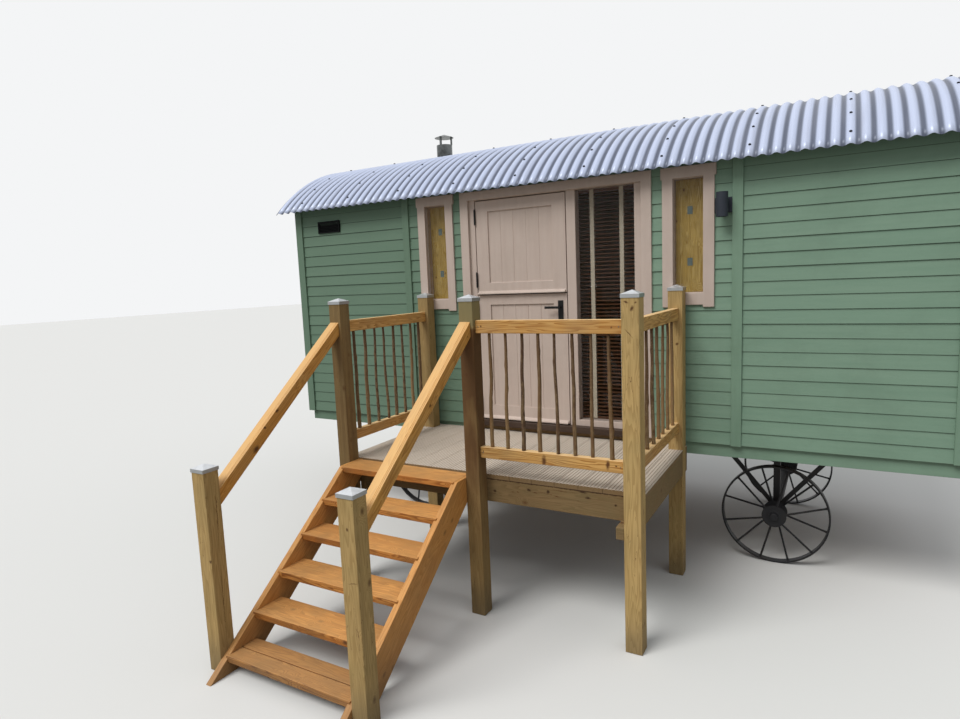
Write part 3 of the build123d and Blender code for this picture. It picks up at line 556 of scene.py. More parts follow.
def makeStage():
    world = bpy.data.worlds.new("softSky")
    bpy.context.scene.world = world
    world.use_nodes = True
    tree = world.node_tree
    sky = tree.nodes["Background"]
    sky.inputs["Color"].default_value = linear(stageLook["sky"])
    up = addNode(tree, "SeparateXYZ", {0: addNode(tree, "TexCoord").outputs["Generated"]})
    strength = addNode(tree, "MapRange", {"Value": up.outputs[2], "To Min": stageLook["horizonStrength"],
                       "To Max": stageLook["zenithStrength"]})
    tree.links.new(strength.outputs[0], sky.inputs["Strength"])
    white = addNode(tree, "Background", {"Color": linear(stageLook["seenSky"]), "Strength": 1.0})
    both = addNode(tree, "MixShader", {0: seenMask(tree), 1: sky.outputs[0], 2: white.outputs[0]})
    tree.links.new(both.outputs[0], tree.nodes["World Output"].inputs["Surface"])
    lamp = bpy.data.objects.new("wideLamp", bpy.data.lights.new("wideLamp", "SUN"))
    bpy.context.scene.collection.objects.link(lamp)
    lamp.data.energy = stageLook["lampStrength"]
    lamp.data.angle = math.radians(stageLook["lampAngle"])
    lamp.rotation_euler = (math.radians(stageLook["lampTilt"]), 0, math.radians(stageLook["lampTurn"]))
    reach = stageLook["floorReach"]
    corners = [(x, y, 0) for x, y in rectangle((-reach, -reach), (reach, reach))]
    mesh = bpy.data.meshes.new("floorPlane")
    mesh.from_pydata(corners, [], [(0, 1, 2, 3)])
    floor = bpy.data.objects.new("floorPlane", mesh)
    bpy.context.scene.collection.objects.link(floor)
    material, tree, shader = startMaterial("paleFloor", {"Roughness": 0.9, "Specular IOR Level": 0.1})
    feedShader(tree, shader, tint(tree, stageLook["litFloor"], seenMask(tree), stageLook["seenFloor"]))
    mesh.materials.append(material)
    bpy.context.scene.view_settings.view_transform = "Standard"


makeCamera()
makeStage()
print("camera, light and floor")


# Millimetres from the middle of the hut, the front wall's face and the ground, as metres of the scene
def fromWall(x, y, z):
    return (x / 1000, wallFace + y / 1000, z / 1000)


# Knots, screws, cracks and saw lines of the real timbers, in millimetres: centre, half sizes, and where there is
# one a turn in degrees
timberMarks = {
    "treatedPine": [((-75, -1161, 1517), (13, 14, 16)), ((-16, -1135, 1371), (14, 10, 13)),
                    ((899, -1161, 1932), (16, 12, 6), (0, 20, 0)), ((947, -1161, 1930), (7, 10, 7)),
                    ((929, -1161, 1899), (10, 8, 18), (0, 15, 0)), ((911, -1161, 1770), (3, 8, 34), (0, -42, 0)),
                    ((930, -122, 1605), (11, 10, 12)), ((-1033, -2234, 873), (9, 2, 226), (-2.2, 0, 0)),
                    ((-1033, -2245, 383), (9, 2, 265), (-0.4, 0, 0)), ((-47, -2295, 724), (37, 8, 2), (0, -12, 0)),
                    ((-1040, -2295, 640), (10, 9, 12)), ((-60, -2295, 980), (9, 9, 11))],
    "joistPine": [((36, -1066, 784), (13, 9, 11)), ((268, -1066, 820), (15, 9, 12)),
                  ((391, -1066, 824), (12, 9, 12), (0, 30, 0)), ((602, -1066, 852), (34, 9, 9), (0, 8, 0)),
                  ((637, -1066, 821), (20, 9, 8)), ((800, -1066, 800), (10, 9, 8)),
                  ((-80, -1066, 859), (4000, 14, 6))],
    "railPine": [((22, -1136, 1805), (6, 8, 6)), ((811, -1136, 1799), (6, 8, 6)),
                 ((402, -1136, 1032), (16, 9, 42)), ((6, -1136, 1052), (6, 8, 5)),
                 ((780, -1136, 1050), (13, 8, 34)), ((826, -1136, 1047), (7, 8, 5))],
    "handrailPine": [((-1051, -1525, 1558), (9, 15, 12)), ((-1051, -1745, 1353), (9, 14, 12)),
                     ((-1051, -1846, 1271), (9, 12, 10)), ((-1051, -1921, 1162), (12, 30, 20), (37, 0, 0)),
                     ((-36, -1194, 1750), (9, 6, 6)), ((-36, -1620, 1420), (9, 16, 9), (37, 0, 0))],
    "stringPine": [((-1033, -1500, 560), (10, 18, 14)), ((-20, -1620, 500), (10, 20, 15)),
                   ((-20, -1900, 330), (10, 14, 12))],
}
# What the timbers share: satin pine with clear bands and a few small dark knots
pineDefaults = {"roughness": 0.55, "knotCell": 0.08, "knotShare": 0.06, "bands": 14.0, "bandDepth": 0.55,
                "fibreDepth": 0.35, "boardDepth": 0.35, "stripDepth": 0.3, "weather": "#8F8468", "weatherDepth": 0.2,
                "crackWidth": 0.0, "bump": 0.35, "knot": "#5A3A1E", "markColour": "#402512", "stained": False,
                "topBleachAndHighlightDepth": 0.0, "top": "#C5A477", "slope": 0.0}
timbers = {
    # Posts: rough straw-coloured pine with open cracks, brown stains and algae
    "treatedPine": {"grain": "Z", "light": "#CAAA70", "dark": "#957643", "other": "#5F492B", "roughness": 0.75,
                    "crackWidth": 0.0014, "weather": "#8A7C50", "weatherDepth": 0.22, "boardDepth": 1.0,
                    "stained": True, "stripDepth": 0.14, "bandDepth": 0.42, "markColour": "#5A3C20"},
    # Deck frame: dull grey-brown sawn boards
    "joistPine": {"grain": "X", "light": "#8A6F4B", "dark": "#664F32", "other": "#75633F", "roughness": 0.8,
                  "crackWidth": 0.002, "weather": "#6E6344", "weatherDepth": 0.3, "markColour": "#3C2814"},
    # Rails: honey-coloured varnish over strong bands, paler on top, partly bleached and partly a painted highlight
    "railPine": {"grain": "X", "light": "#DEB06A", "dark": "#A06C2E", "bandDepth": 0.8, "other": "#B07A3C",
                 "topBleachAndHighlightDepth": 0.75, "top": "#E6C490", "markColour": "#5C3818"},
    # Handrails and strings: the same honey colour, with the grain along their slopes; the handrails are paler on top,
    # partly bleached and partly a painted highlight
    "handrailPine": {"grain": "Y", "light": "#DCA85A", "dark": "#A8702C", "other": "#B67C34", "topBleachAndHighlightDepth": 0.65,
                     "top": "#DEB47A", "bandDepth": 0.8, "slope": 38.8, "markColour": "#5C3818"},
    "stringPine": {"grain": "Y", "light": "#DFA660", "dark": "#AA7034", "other": "#BC8040", "slope": 37.6,
                   "weatherDepth": 0.25, "weather": "#8A6A44"},
    # Treads: orange-brown with bold bands and trodden dirt, paler on top, partly bleached and partly a painted
    # highlight
    "treadPine": {"grain": "X", "light": "#DA9A50", "dark": "#87501E", "other": "#9E6026", "weather": "#70502C",
                  "weatherDepth": 0.65, "bandDepth": 0.9, "stripDepth": 0.6, "topBleachAndHighlightDepth": 0.4, "top": "#E6AE6C",
                  "knotShare": 0.16},
    # Deck boards: brown in the grooves and on the edges, grey on top, partly bleached and partly a painted highlight
    "deckBoardPine": {"grain": "Y", "light": "#8E7350", "dark": "#6C5434", "other": "#7C6444", "roughness": 0.85,
                      "weather": "#77715F", "topBleachAndHighlightDepth": 0.93, "top": "#CBBFB0", "knotShare": 0.0},
    # Shutters: glossy yellow pine full of knots
    "shutterPine": {"grain": "Z", "light": "#E6CA7E", "dark": "#A98840", "other": "#BC9A48", "roughness": 0.35,
                    "bandDepth": 0.8, "stripDepth": 0.5, "knotShare": 0.3, "knotCell": 0.05, "weatherDepth": 0.0,
                    "knot": "#6E4420"},
    # Clean pale boards inside: the floor and the roof's lining
    "floorPine": {"grain": "X", "light": "#C9A06A", "dark": "#A67B46", "other": "#BB9058", "weatherDepth": 0.1},
    "liningPine": {"grain": "X", "light": "#DCC08C", "dark": "#C19C60", "other": "#D0B078", "weatherDepth": 0.0},
    # Threshold: nearly black hardwood
    "thresholdWood": {"grain": "X", "light": "#4A382C", "dark": "#2C211A", "other": "#3A2B22", "knotShare": 0.0,
                      "roughness": 0.45, "weather": "#5A4E44", "weatherDepth": 0.25},
    # Blind: smooth brown slats that catch the light
    "blindWood": {"grain": "X", "light": "#6C4630", "dark": "#47301F", "other": "#573826", "knotShare": 0.0,
                  "roughness": 0.32, "weatherDepth": 0.0, "bump": 0.1},
}
timbers["sideRailPine"] = {**timbers["railPine"], "grain": "Y"}
# Brown preservative below a post's rail, which has washed paler near the ground, and green algae above it
stainLook = {"edge": 1.815, "foot": 0.35, "brown": "#5E4224", "green": "#79704D"}
for name, finish in timbers.items():
    finish["marks"] = [(fromWall(*centre), [half / 1000 for half in size], turn[0] if turn else (0, 0, 0))
                       for centre, size, *turn in timberMarks.get(name, [])]
paints = {
    # Cladding: sage green that has faded in soft streaks
    "sagePaintBoards": {"grain": "X", "paint": "#728E79", "faded": "#7C9681", "dirt": "#5E7260", "dirtDepth": 0.3,
                        "roughness": 0.6, "bump": 0.3, "paintedShadeColour": "#546B57"},
    # Corner trims and battens: the same green, a little darker and smoother
    "sagePaintTrims": {"grain": "Z", "paint": "#6F8A74", "faded": "#7A9580", "dirt": "#5A6F5C", "dirtDepth": 0.3,
                       "roughness": 0.55, "bump": 0.2, "paintedShadeColour": "#536955"},
    # Door, windows and architraves: warm grey-brown satin
    "taupePaint": {"grain": "Z", "paint": "#B9A79B", "faded": "#C2B2A6", "dirt": "#988A7B", "dirtDepth": 0.25,
                   "roughness": 0.5, "bump": 0.15, "paintedShadeColour": None},
    # Inside walls: cream
    "insidePaint": {"grain": "X", "paint": "#DAD3C2", "faded": "#E2DCCD", "dirt": "#C4BBA6", "dirtDepth": 0.2,
                    "roughness": 0.6, "bump": 0.15, "paintedShadeColour": None},
}
paints["sagePaintEnds"] = {**paints["sagePaintBoards"], "grain": "Y"}
metalDefaults = {"metallic": 0.0, "roughness": 0.5, "specular": 0.5, "grimeDepth": 0.4, "sideShadeDepth": 0.0,
                 "cloudScale": 25.0, "grainScale": (500.0, 500.0, 500.0), "bump": 0.1}
metals = {
    # Chassis and wheels: satin black with brown dust; hinges and lever: a deeper black
    "blackChassisPaint": {"coat": "#1A1A1C", "grime": "#38312A", "cloudScale": 5.0, "specular": 0.3},
    "blackHingePaint": {"coat": "#0E0E0F", "grime": "#242220", "specular": 0.22},
    # Flue: sooty steel with fine lines round the pipe
    "brushedFlueSteel": {"coat": "#6C6F6F", "grime": "#2E2E2D", "grimeDepth": 0.8, "metallic": 1.0,
                         "roughness": 0.3, "cloudScale": 9.0, "grainScale": (60.0, 60.0, 1600.0), "bump": 0.15},
    # Post caps: bright tops, and sides greyed by painted shade
    "castCapAluminium": {"coat": "#DCDEE0", "grime": "#8B8D8C", "grimeDepth": 0.3, "metallic": 0.7,
                         "roughness": 0.36, "sideShadeDepth": 0.75, "cloudScale": 35.0, "bump": 0.12},
    # Lamp: blue-grey powder coat with a fine grain; vent: matt black moulding
    "anthraciteCoat": {"coat": "#262B34", "grime": "#3A3E46", "grimeDepth": 0.3, "roughness": 0.6,
                       "specular": 0.3, "grainScale": (700.0, 700.0, 700.0), "bump": 0.25},
    "blackAbs": {"coat": "#050607", "grime": "#121312", "roughness": 0.6, "specular": 0.08},
    # Small metal: dull plates, worn rail screws and the roof's dark coated heads
    "zincPlate": {"coat": "#74827E", "grime": "#4E5A58", "metallic": 0.4, "specular": 0.3},
    "zincScrew": {"coat": "#6E6A62", "grime": "#3C342A", "grimeDepth": 0.6, "metallic": 0.7, "roughness": 0.4,
                  "cloudScale": 60.0},
    "roofScrew": {"coat": "#151820", "grime": "#2C2A2A", "metallic": 0.2, "cloudScale": 60.0, "specular": 0.2},
}
# Roof sheet: a pale blue-grey coat on the crests and dark painted shade in the troughs
roofLook = {"pitch": 0.0762, "start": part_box("roof_sheet")[0][0] + 0.004, "coat": "#BCC5DC", "dust": "#353D50",
            "streak": "#8D8F9A"}
materials = {name: timberMaterial(name, {**pineDefaults, **finish}) for name, finish in timbers.items()}
materials.update({name: paintMaterial(name, finish) for name, finish in paints.items()})
materials.update({name: metalMaterial(name, {**metalDefaults, **finish}) for name, finish in metals.items()})
materials["coatedRoofSteel"] = roofMaterial("coatedRoofSteel", roofLook)


# Hazel bark: thin skin from golden to dark brown, with painted shade darkening it towards the top under the rail, and
# paler lenticels across it
def barkMaterial(name):
    material, tree, shader = startMaterial(name, {"Roughness": 0.7, "Specular IOR Level": 0.3})
    here, place, shade = boardPlace(tree)
    colour = tint(tree, "#4C3624", shade, "#8C6C46")
    patches = stretchedMask(tree, place, (55.0, 55.0, 22.0), 0.42, 0.6, 0.65, 4.0)
    colour = tint(tree, colour, patches, "#86704E")
    height = addNode(tree, "SeparateXYZ", {0: here}).outputs[2]
    # Painted shade under the top rail: the sticks darken towards their tops
    topShade = addNode(tree, "MapRange", {"Value": height, "From Min": 1.2, "From Max": 1.75, "To Max": 0.6})
    colour = tint(tree, colour, topShade, "#4A3222")
    spotPlace = addNode(tree, "Mapping", {"Vector": place, "Scale": (110.0, 110.0, 160.0)})
    spots = addNode(tree, "TexVoronoi", {"Vector": spotPlace, "Scale": 1.0})
    lenticels = addNode(tree, "Math", {0: spots, 1: 0.16}, operation="LESS_THAN")
    feedShader(tree, shader, tint(tree, colour, lenticels, "#A89474"), patches, 0.6, 0.003)
    return material


# Clear float glass: what is behind it shows, under a gloss that takes the sky and a thin dark brown veil of painted
# shade that is uneven in soft clouds
def glassMaterial(name):
    # Painted shade: the dark brown colour, laid thinly over the glass, dims what shows through
    material, tree, shader = startMaterial(name, {"Base Color": linear("#221C14"), "Roughness": 0.03, "IOR": 1.52})
    here = addNode(tree, "TexCoord").outputs["Object"]
    # The clouds set how thick the painted shade is
    dust = addNode(tree, "TexNoise", {"Vector": here, "Scale": 14.0, "Detail": 5.0})
    cover = addNode(tree, "MapRange", {"Value": dust, "From Min": 0.4, "From Max": 0.8, "To Min": 0.12,
                    "To Max": 0.20})
    tree.links.new(cover.outputs[0], shader.inputs["Alpha"])
    return material


# Woven cotton ladder tape: pale threads at 0.7 mm, drawn at 1.4 mm so that they show
def tapeMaterial(name):
    material, tree, shader = startMaterial(name, {"Roughness": 0.9, "Sheen Weight": 0.2})
    here = addNode(tree, "TexCoord").outputs["Object"]
    threads = addNode(tree, "TexWave", {"Vector": here, "Scale": 110.0, "Distortion": 0.6}, bands_direction="Z")
    feedShader(tree, shader, tint(tree, "#C9BDA4", threads.outputs["Fac"], "#E0D6C0"))
    return material


# Moulded opal acrylic: an even milky white with a soft shine and a little dust
def opalMaterial(name):
    material, tree, shader = startMaterial(name, {"Roughness": 0.25})
    here = addNode(tree, "TexCoord").outputs["Object"]
    dust = stretchedMask(tree, here, [60.0] * 3, 0.4, 0.7, 0.4)
    feedShader(tree, shader, tint(tree, "#E4E2DA", dust, "#C9C6BC"))
    return material


for name, makeMaterial in (("opalAcrylic", opalMaterial), ("hazelBark", barkMaterial),
                           ("floatGlass", glassMaterial), ("cottonTape", tapeMaterial)):
    materials[name] = makeMaterial(name)
print("materials", len(materials))

# The CAD nodes that stay in view, by their finish
nodesInFinish = {
    "blackChassisPaint": ("chassis_frame", "axle_left", "axle_right"), "floorPine": ("floor",),
    "insidePaint": ("front_wall_left", "front_wall_right", "front_wall_over_door", "back_wall", "left_end_wall",
                    "right_end_wall"),
    "liningPine": ("roof_lining",), "floatGlass": ("window_glass",), "blackAbs": ("wall_vent",),
    "blackHingePaint": ("frame_hinges", "top_leaf_hinges", "bottom_leaf_hinges"), "anthraciteCoat": ("wall_lamp",),
    "brushedFlueSteel": ("flue_pipe", "flue_cowl"), "castCapAluminium": ("post_caps",),
}
# Nodes that are shown as copies with eased edges, with the finish and the width of the easing
easedFinish = {
    "base_boards": ("sagePaintBoards", 0.002), "corner_trims": ("sagePaintTrims", 0.0025),
    "wall_battens": ("sagePaintTrims", 0.0025), "door_frame": ("taupePaint", 0.002),
    "door_architrave": ("taupePaint", 0.0025), "threshold": ("thresholdWood", 0.004),
    "door_top_leaf": ("taupePaint", 0.0018), "door_bottom_leaf": ("taupePaint", 0.0018),
    "window_frames": ("taupePaint", 0.002), "window_architraves": ("taupePaint", 0.0025),
    "window_shutters": ("shutterPine", 0.0015), "deck_posts": ("treatedPine", 0.004),
    "newel_posts": ("treatedPine", 0.004), "deck_frame": ("joistPine", 0.003),
    "stair_strings": ("stringPine", 0.003), "stair_treads": ("treadPine", 0.004),
    "door_handle": ("blackHingePaint", 0.0025), "door_lever": ("blackHingePaint", 0.004),
}
# How brown (shade), how stained below the rail and how green above it each post is, from 0 to 1
postLooks = {
    "frontLeft": (0.75, 0.0, 0.1), "frontMiddle": (0.0, 1.0, 0.9), "frontRight": (0.0, 0.0, 0.1),
    "wallLeft": (0.42, 0.0, 0.2), "wallRight": (0.12, 0.0, 0.2), "stairLeft": (0.16, 0.0, 0.0),
    "stairRight": (0.16, 0.0, 0.0),
}
postRows = {"depth": 0.01, "margin": 0.001}


# Names the posts by where they stand: three along the deck's front, two at the wall, two at the stair's foot
def namedPosts():
    boxes = solidBoxes("deck_posts")
    front = min(box[0][1] for box in boxes) + postRows["depth"]
    rows = {("frontLeft", "frontMiddle", "frontRight"): [box for box in boxes if box[0][1] < front],
            ("wallLeft", "wallRight"): [box for box in boxes if box[0][1] > front],
            ("stairLeft", "stairRight"): solidBoxes("newel_posts")}
    return {name: box for names, row in rows.items()
            for name, box in zip(names, sorted(row, key=lambda box: box[0][0]))}


# Writes each post's look on the points of its own box
def tonePosts(mesh):
    points = meshArrays(mesh)[0]
    tones = np.zeros((len(points), 3))
    margin = postRows["margin"]
    for name, (low, high) in namedPosts().items():
        inside = np.all((points > low - margin) & (points < high + margin), axis=1)
        tones[inside] = postLooks[name]
    for column, name in enumerate(("shade", "stain", "algae")):
        setAttribute(mesh, name, tones[:, column])


def finishNodes():
    for node, finish in ((node, finish) for finish, nodes in nodesInFinish.items() for node in nodes):
        mesh = frame["nodes"][node].data
        mesh.materials.clear()
        mesh.materials.append(materials[finish])
    for node, (finish, width) in easedFinish.items():
        piece = easedCopy(node, materials[finish], width)
        if finish == "treatedPine":
            tonePosts(piece.data)


finishNodes()
print("finishes on the CAD nodes")

# Lapped cladding: each board is thicker at its foot, where it throws the thin shadow line. The corner trims stand
# out from the end walls by trimOut and cover trimCover of them, and beyond is past every end and top of a wall
cladding = {"cover": 0.0895, "footThick": 0.0085, "headThick": 0.0025, "underTrim": 0.003, "step": 0.010,
            "ear": 0.010, "sillDrop": 0.015, "topGap": 0.012, "variation": 0.16, "seed": 5, "boardFace": 0.011,
            "trimOut": 0.02, "trimCover": 0.055, "nearWall": 0.1, "beyond": 9}
# A stretch of a row is numbered from its row and from where it starts along the wall
stretchNumber = {"step": 31, "shift": 9, "perMetre": 1.7}


# The roof's curve, from the sheet's box: the angle at which both its eave and its crown fit
def roofCurve():
    low, high = nodeBox("roof_sheet")
    depth = roofShape["depth"]
    angles = np.linspace(*roofShape["angleSearch"])
    radii = (high[2] - low[2] - depth) / (1 - np.cos(angles))
    reach = (radii + depth) * np.sin(angles)
    best = np.argmin(abs(reach - (high[1] - low[1]) / 2))
    radius = radii[best]
    return radius, angles[best], (low[1] + high[1]) / 2, high[2] - depth - radius


roofShape = {"depth": 0.018, "gauge": 0.0009, "samples": 12, "arcSteps": 34, "flueHole": 0.104,
             "angleSearch": (0.3, 1.3, 20001), "firstScrew": 3, "endScrew": 69, "screwStep": 7,
             "screwRows": (0.108, 0.325, 0.560, 0.900), "screwRadius": 0.0085, "screwHeight": 0.006}
roofRadius, roofAngle, roofMiddle, roofCentre = roofCurve()


# Cuts the rows of boards round the openings: a cell is one stretch of one row, with its two ends at its foot and
# its head, and openings are (start, end, low, high) rectangles of the wall
def boardCells(start, end, low, high, openings, reachAt, step):
    levels = [low, high] + [value for opening in openings for value in opening[2:]]
    rows = np.arange(low, high, cladding["cover"])
    fine = np.arange(high, low, -step)[::-1] if step else []
    cuts = np.unique(np.round(np.concatenate([levels, rows, fine]), 5))
    cuts = cuts[(cuts >= low) & (cuts <= high)]
    cells = []
    for foot, head in zip(cuts[:-1], cuts[1:]):
        row = math.floor(((foot + head) / 2 - low) / cladding["cover"])
        middle = (foot + head) / 2
        blocked = sorted((o[0], o[1]) for o in openings if o[2] < middle < o[3])
        ends = [start] + [value for pair in blocked for value in pair] + [end]
        for first, last in zip(ends[::2], ends[1::2]):
            footReach, headReach = reachAt(foot), reachAt(head)
            limits = [max(first, footReach[0]), min(last, footReach[1]), max(first, headReach[0]),
                      min(last, headReach[1])]
            if limits[1] > limits[0] and limits[3] > limits[2]:
                cells.append([foot, head, *limits, row])
    return np.array(cells)


# Boards on one wall: the front of a cell stands out by its board's thickness at that height, which falls evenly
# from the board's foot to its head; face and outward place the wall along its other axis
def boardShape(cells, low, across, face, outward):
    foot, head, footStart, footEnd, headStart, headEnd, row = cells.T
    base = low + row * cladding["cover"]
    rng = np.random.default_rng(cladding["seed"])
    uneven = 1 + cladding["variation"] * rng.uniform(-1, 1, 100)[row.astype(int)]
    slope = (cladding["footThick"] * uneven - cladding["headThick"]) / cladding["cover"]
    footOut = cladding["footThick"] * uneven - (foot - base) * slope
    headOut = cladding["footThick"] * uneven - (head - base) * slope
    flat = np.zeros(len(cells))
    along = np.stack([footStart, footEnd, headEnd, headStart] * 2, axis=1)
    rise = np.stack([foot, foot, head, head] * 2, axis=1)
    out = np.stack([flat, flat, flat, flat, footOut, footOut, headOut, headOut], axis=1)
    points = np.zeros((len(cells), 8, 3))
    points[:, :, "XY".index(across)] = along
    points[:, :, "YX".index(across)] = face + outward * out
    points[:, :, 2] = rise
    sides = np.array([[0, 1, 2, 3], [4, 7, 6, 5], [0, 4, 5, 1], [1, 5, 6, 2], [2, 6, 7, 3], [3, 7, 4, 0]])
    faces = (np.arange(len(cells))[:, None, None] * 8 + sides[None]).reshape(-1, 4)
    stretch = np.floor((footStart + stretchNumber["shift"]) * stretchNumber["perMetre"])
    numbers = np.repeat(row + stretchNumber["step"] * stretch, 8)
    lap = (rise - base[:, None]) / cladding["cover"]
    return points.reshape(-1, 3), faces.tolist(), numbers, lap.ravel()


def makeCladding():
    trim, beyond = cladding["underTrim"], cladding["beyond"]
    ear = cladding["ear"] + trim
    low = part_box("base_boards")[1][2]
    corner = solidBoxes("corner_trims")
    battens = solidBoxes("wall_battens")
    windows = solidBoxes("window_architraves")
    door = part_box("door_architrave")
    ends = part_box("back_wall")
    inner = corner[0][1][0] - corner[0][0][0]
    eaveReach = roofMiddle - wallFace + cladding["boardFace"]
    high = roofCentre + math.sqrt(roofRadius**2 - eaveReach**2) - cladding["topGap"]
    start = ends[0][0] + inner - cladding["trimOut"] - trim
    walls = {}
    for name, face, outward in (("front", wallFace, -1), ("back", backFace, 1)):
        near = [[box for box in boxes if min(abs(box[0][1] - face), abs(box[1][1] - face)) < cladding["nearWall"]]
                for boxes in (battens, windows)]
        openings = [(boxLow[0] + trim, boxHigh[0] - trim, 0, beyond) for boxLow, boxHigh in near[0]]
        openings += [(boxLow[0] + ear, boxHigh[0] - ear, boxLow[2] + cladding["sillDrop"] + trim, boxHigh[2] - trim)
                     for boxLow, boxHigh in near[1]]
        if name == "front":
            openings.append((door[0][0] + trim, door[1][0] - trim, 0, door[1][2] - trim))
        cells = boardCells(start, -start, low, high, openings, lambda z: (-beyond, beyond), None)
        walls[name] = (*boardShape(cells, low, "X", face, outward), "sagePaintBoards")
    top = roofCentre + roofRadius - cladding["topGap"]

    def archReach(z):
        half = math.sqrt(max((roofRadius - cladding["topGap"]) ** 2 - max(z - roofCentre, 0) ** 2, 0))
        return roofMiddle - half, roofMiddle + half

    side = cladding["trimCover"] - trim
    for name, face, outward in (("left", ends[0][0], -1), ("right", ends[1][0], 1)):
        cells = boardCells(wallFace + side, backFace - side, low, top, [], archReach, cladding["step"])
        walls[name] = (*boardShape(cells, low, "Y", face, outward), "sagePaintEnds")
    for name, (points, faces, numbers, lap, finish) in walls.items():
        mesh = bpy.data.meshes.new("cladding_" + name)
        mesh.from_pydata(points.tolist(), [], faces)
        setAttribute(mesh, "piece", numbers)
        setAttribute(mesh, "lap", lap)
        setAttribute(mesh, "shade", np.random.default_rng(cladding["seed"]).random(1000)[numbers.astype(int)])
        turnOutwards(mesh)
        placePiece("cladding_" + name, mesh, materials[finish], "hut")


makeCladding()
print("cladding boards")


# The corrugated sheet: along the hut it is a cosine with its first trough at the left end, and every point of
# that wave is carried round the roof's arc; the underside lies one gauge below. The cells inside the flue are
# left out, and wherever a kept cell meets a missing one a narrow wall joins the two skins
def makeRoofSheet():
    low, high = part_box("roof_sheet")
    pipeLow, pipeHigh = nodeBox("flue_cowl")
    pipe = (pipeLow + pipeHigh) / 2
    half = roofShape["flueHole"] / 2
    columns = int((high[0] - low[0]) / roofLook["pitch"] * roofShape["samples"]) + 1
    along = np.linspace(low[0], high[0], columns)
    swing = (roofShape["depth"] - roofShape["gauge"]) / 2
    wave = swing * (1 - np.cos(2 * np.pi * (along - roofLook["start"]) / roofLook["pitch"]))
    holeTurns = np.arcsin((pipe[1] + np.array([-half, half]) - roofMiddle) / roofRadius)
    turn = np.sort(np.append(np.linspace(-roofAngle, roofAngle, roofShape["arcSteps"]), holeTurns))
    radius = roofRadius + wave[None, :, None] + np.array([roofShape["gauge"], 0.0])[None, None, :]
    points = np.zeros((len(turn), columns, 2, 3))
    points[..., 0] = along[None, :, None]
    points[..., 1] = roofMiddle + radius * np.sin(turn)[:, None, None]
    points[..., 2] = roofCentre + radius * np.cos(turn)[:, None, None]
    index = np.arange(points[..., 0].size).reshape(len(turn), columns, 2)
    middleTurn = (turn[1:] + turn[:-1]) / 2
    inTurn = (middleTurn > holeTurns[0]) & (middleTurn < holeTurns[1])
    kept = np.ones((len(turn) + 1, columns + 1), dtype=bool)
    kept[[0, -1]] = False
    kept[:, [0, -1]] = False
    kept[1:-1, 1:-1] &= ~(inTurn[:, None] & (abs((along[1:] + along[:-1]) / 2 - pipe[0]) < half)[None, :])
    cell = kept[1:-1, 1:-1]
    quads = []
    for side in (0, 1):
        part = index[:, :, side]
        corners = np.stack([part[:-1, :-1], part[:-1, 1:], part[1:, 1:], part[1:, :-1]], axis=-1)
        quads.append(corners[cell])
    lengthwise = kept[:-1, 1:-1] != kept[1:, 1:-1]
    quads.append(np.stack([index[:, :-1, 0], index[:, 1:, 0], index[:, 1:, 1], index[:, :-1, 1]],
                          axis=-1)[lengthwise])
    crosswise = kept[1:-1, :-1] != kept[1:-1, 1:]
    quads.append(np.stack([index[:-1, :, 0], index[1:, :, 0], index[1:, :, 1], index[:-1, :, 1]],
                          axis=-1)[crosswise])
    mesh = shellMesh("corrugated_roof", points.reshape(-1, 3), np.concatenate(quads).tolist())
    piece = placePiece("corrugated_roof", mesh, materials["coatedRoofSteel"], "hut", smooth=True)
    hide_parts("roof_sheet")
    crest = np.arange(roofShape["firstScrew"], roofShape["endScrew"], roofShape["screwStep"]) + 0.5
    crests = roofLook["start"] + roofLook["pitch"] * crest
    rows = np.array(roofShape["screwRows"]) / roofRadius
    turns = np.concatenate([rows - roofAngle, roofAngle - rows])
    spot = np.stack(np.meshgrid(crests, turns, indexing="ij"), axis=-1).reshape(-1, 2)
    out = np.stack([np.zeros(len(spot)), np.sin(spot[:, 1]), np.cos(spot[:, 1])], axis=1)
    places = out * (roofRadius + roofShape["depth"]) + [0, roofMiddle, roofCentre]
    places[:, 0] = spot[:, 0]
    screws = screwHeads(places, out, roofShape["screwRadius"], roofShape["screwHeight"])
    placeShapes("roof_screws", [screws], materials["roofScrew"], "hut", smooth=True)


makeRoofSheet()
print("corrugated roof")

# The deck's boards in plan, and the grooves of each
deckBoard = {"pitch": 0.147, "joint": 0.0025, "grooves": 7, "grooveWidth": 0.0075, "grooveDepth": 0.0028,
             "ease": 0.002, "gap": 0.001, "wallPosts": 0.2, "shortest": 0.004}


# One reeded deck board: a flat-bottomed profile whose top dips in shallow grooves, carried from the deck's front to
# the wall
def reededBoard(low, high, grooves):
    ease, width = deckBoard["ease"], high[0] - low[0]
    centres = low[0] + width * (np.arange(grooves) + 0.5) / grooves
    steps = np.array([-0.5, -0.25, 0.25, 0.5]) * deckBoard["grooveWidth"]
    drops = np.array([0.0, 1.0, 1.0, 0.0]) * deckBoard["grooveDepth"]
    across = np.concatenate([[low[0], low[0] + ease], (centres[:, None] + steps).ravel(),
                             [high[0] - ease, high[0], high[0], low[0]]])
    level = np.concatenate([[high[2] - ease, high[2]], high[2] - np.tile(drops, grooves),
                            [high[2], high[2] - ease, low[2], low[2]]])
    return straightPrism(np.stack([across, level], axis=1), "Y", low[1], high[1])


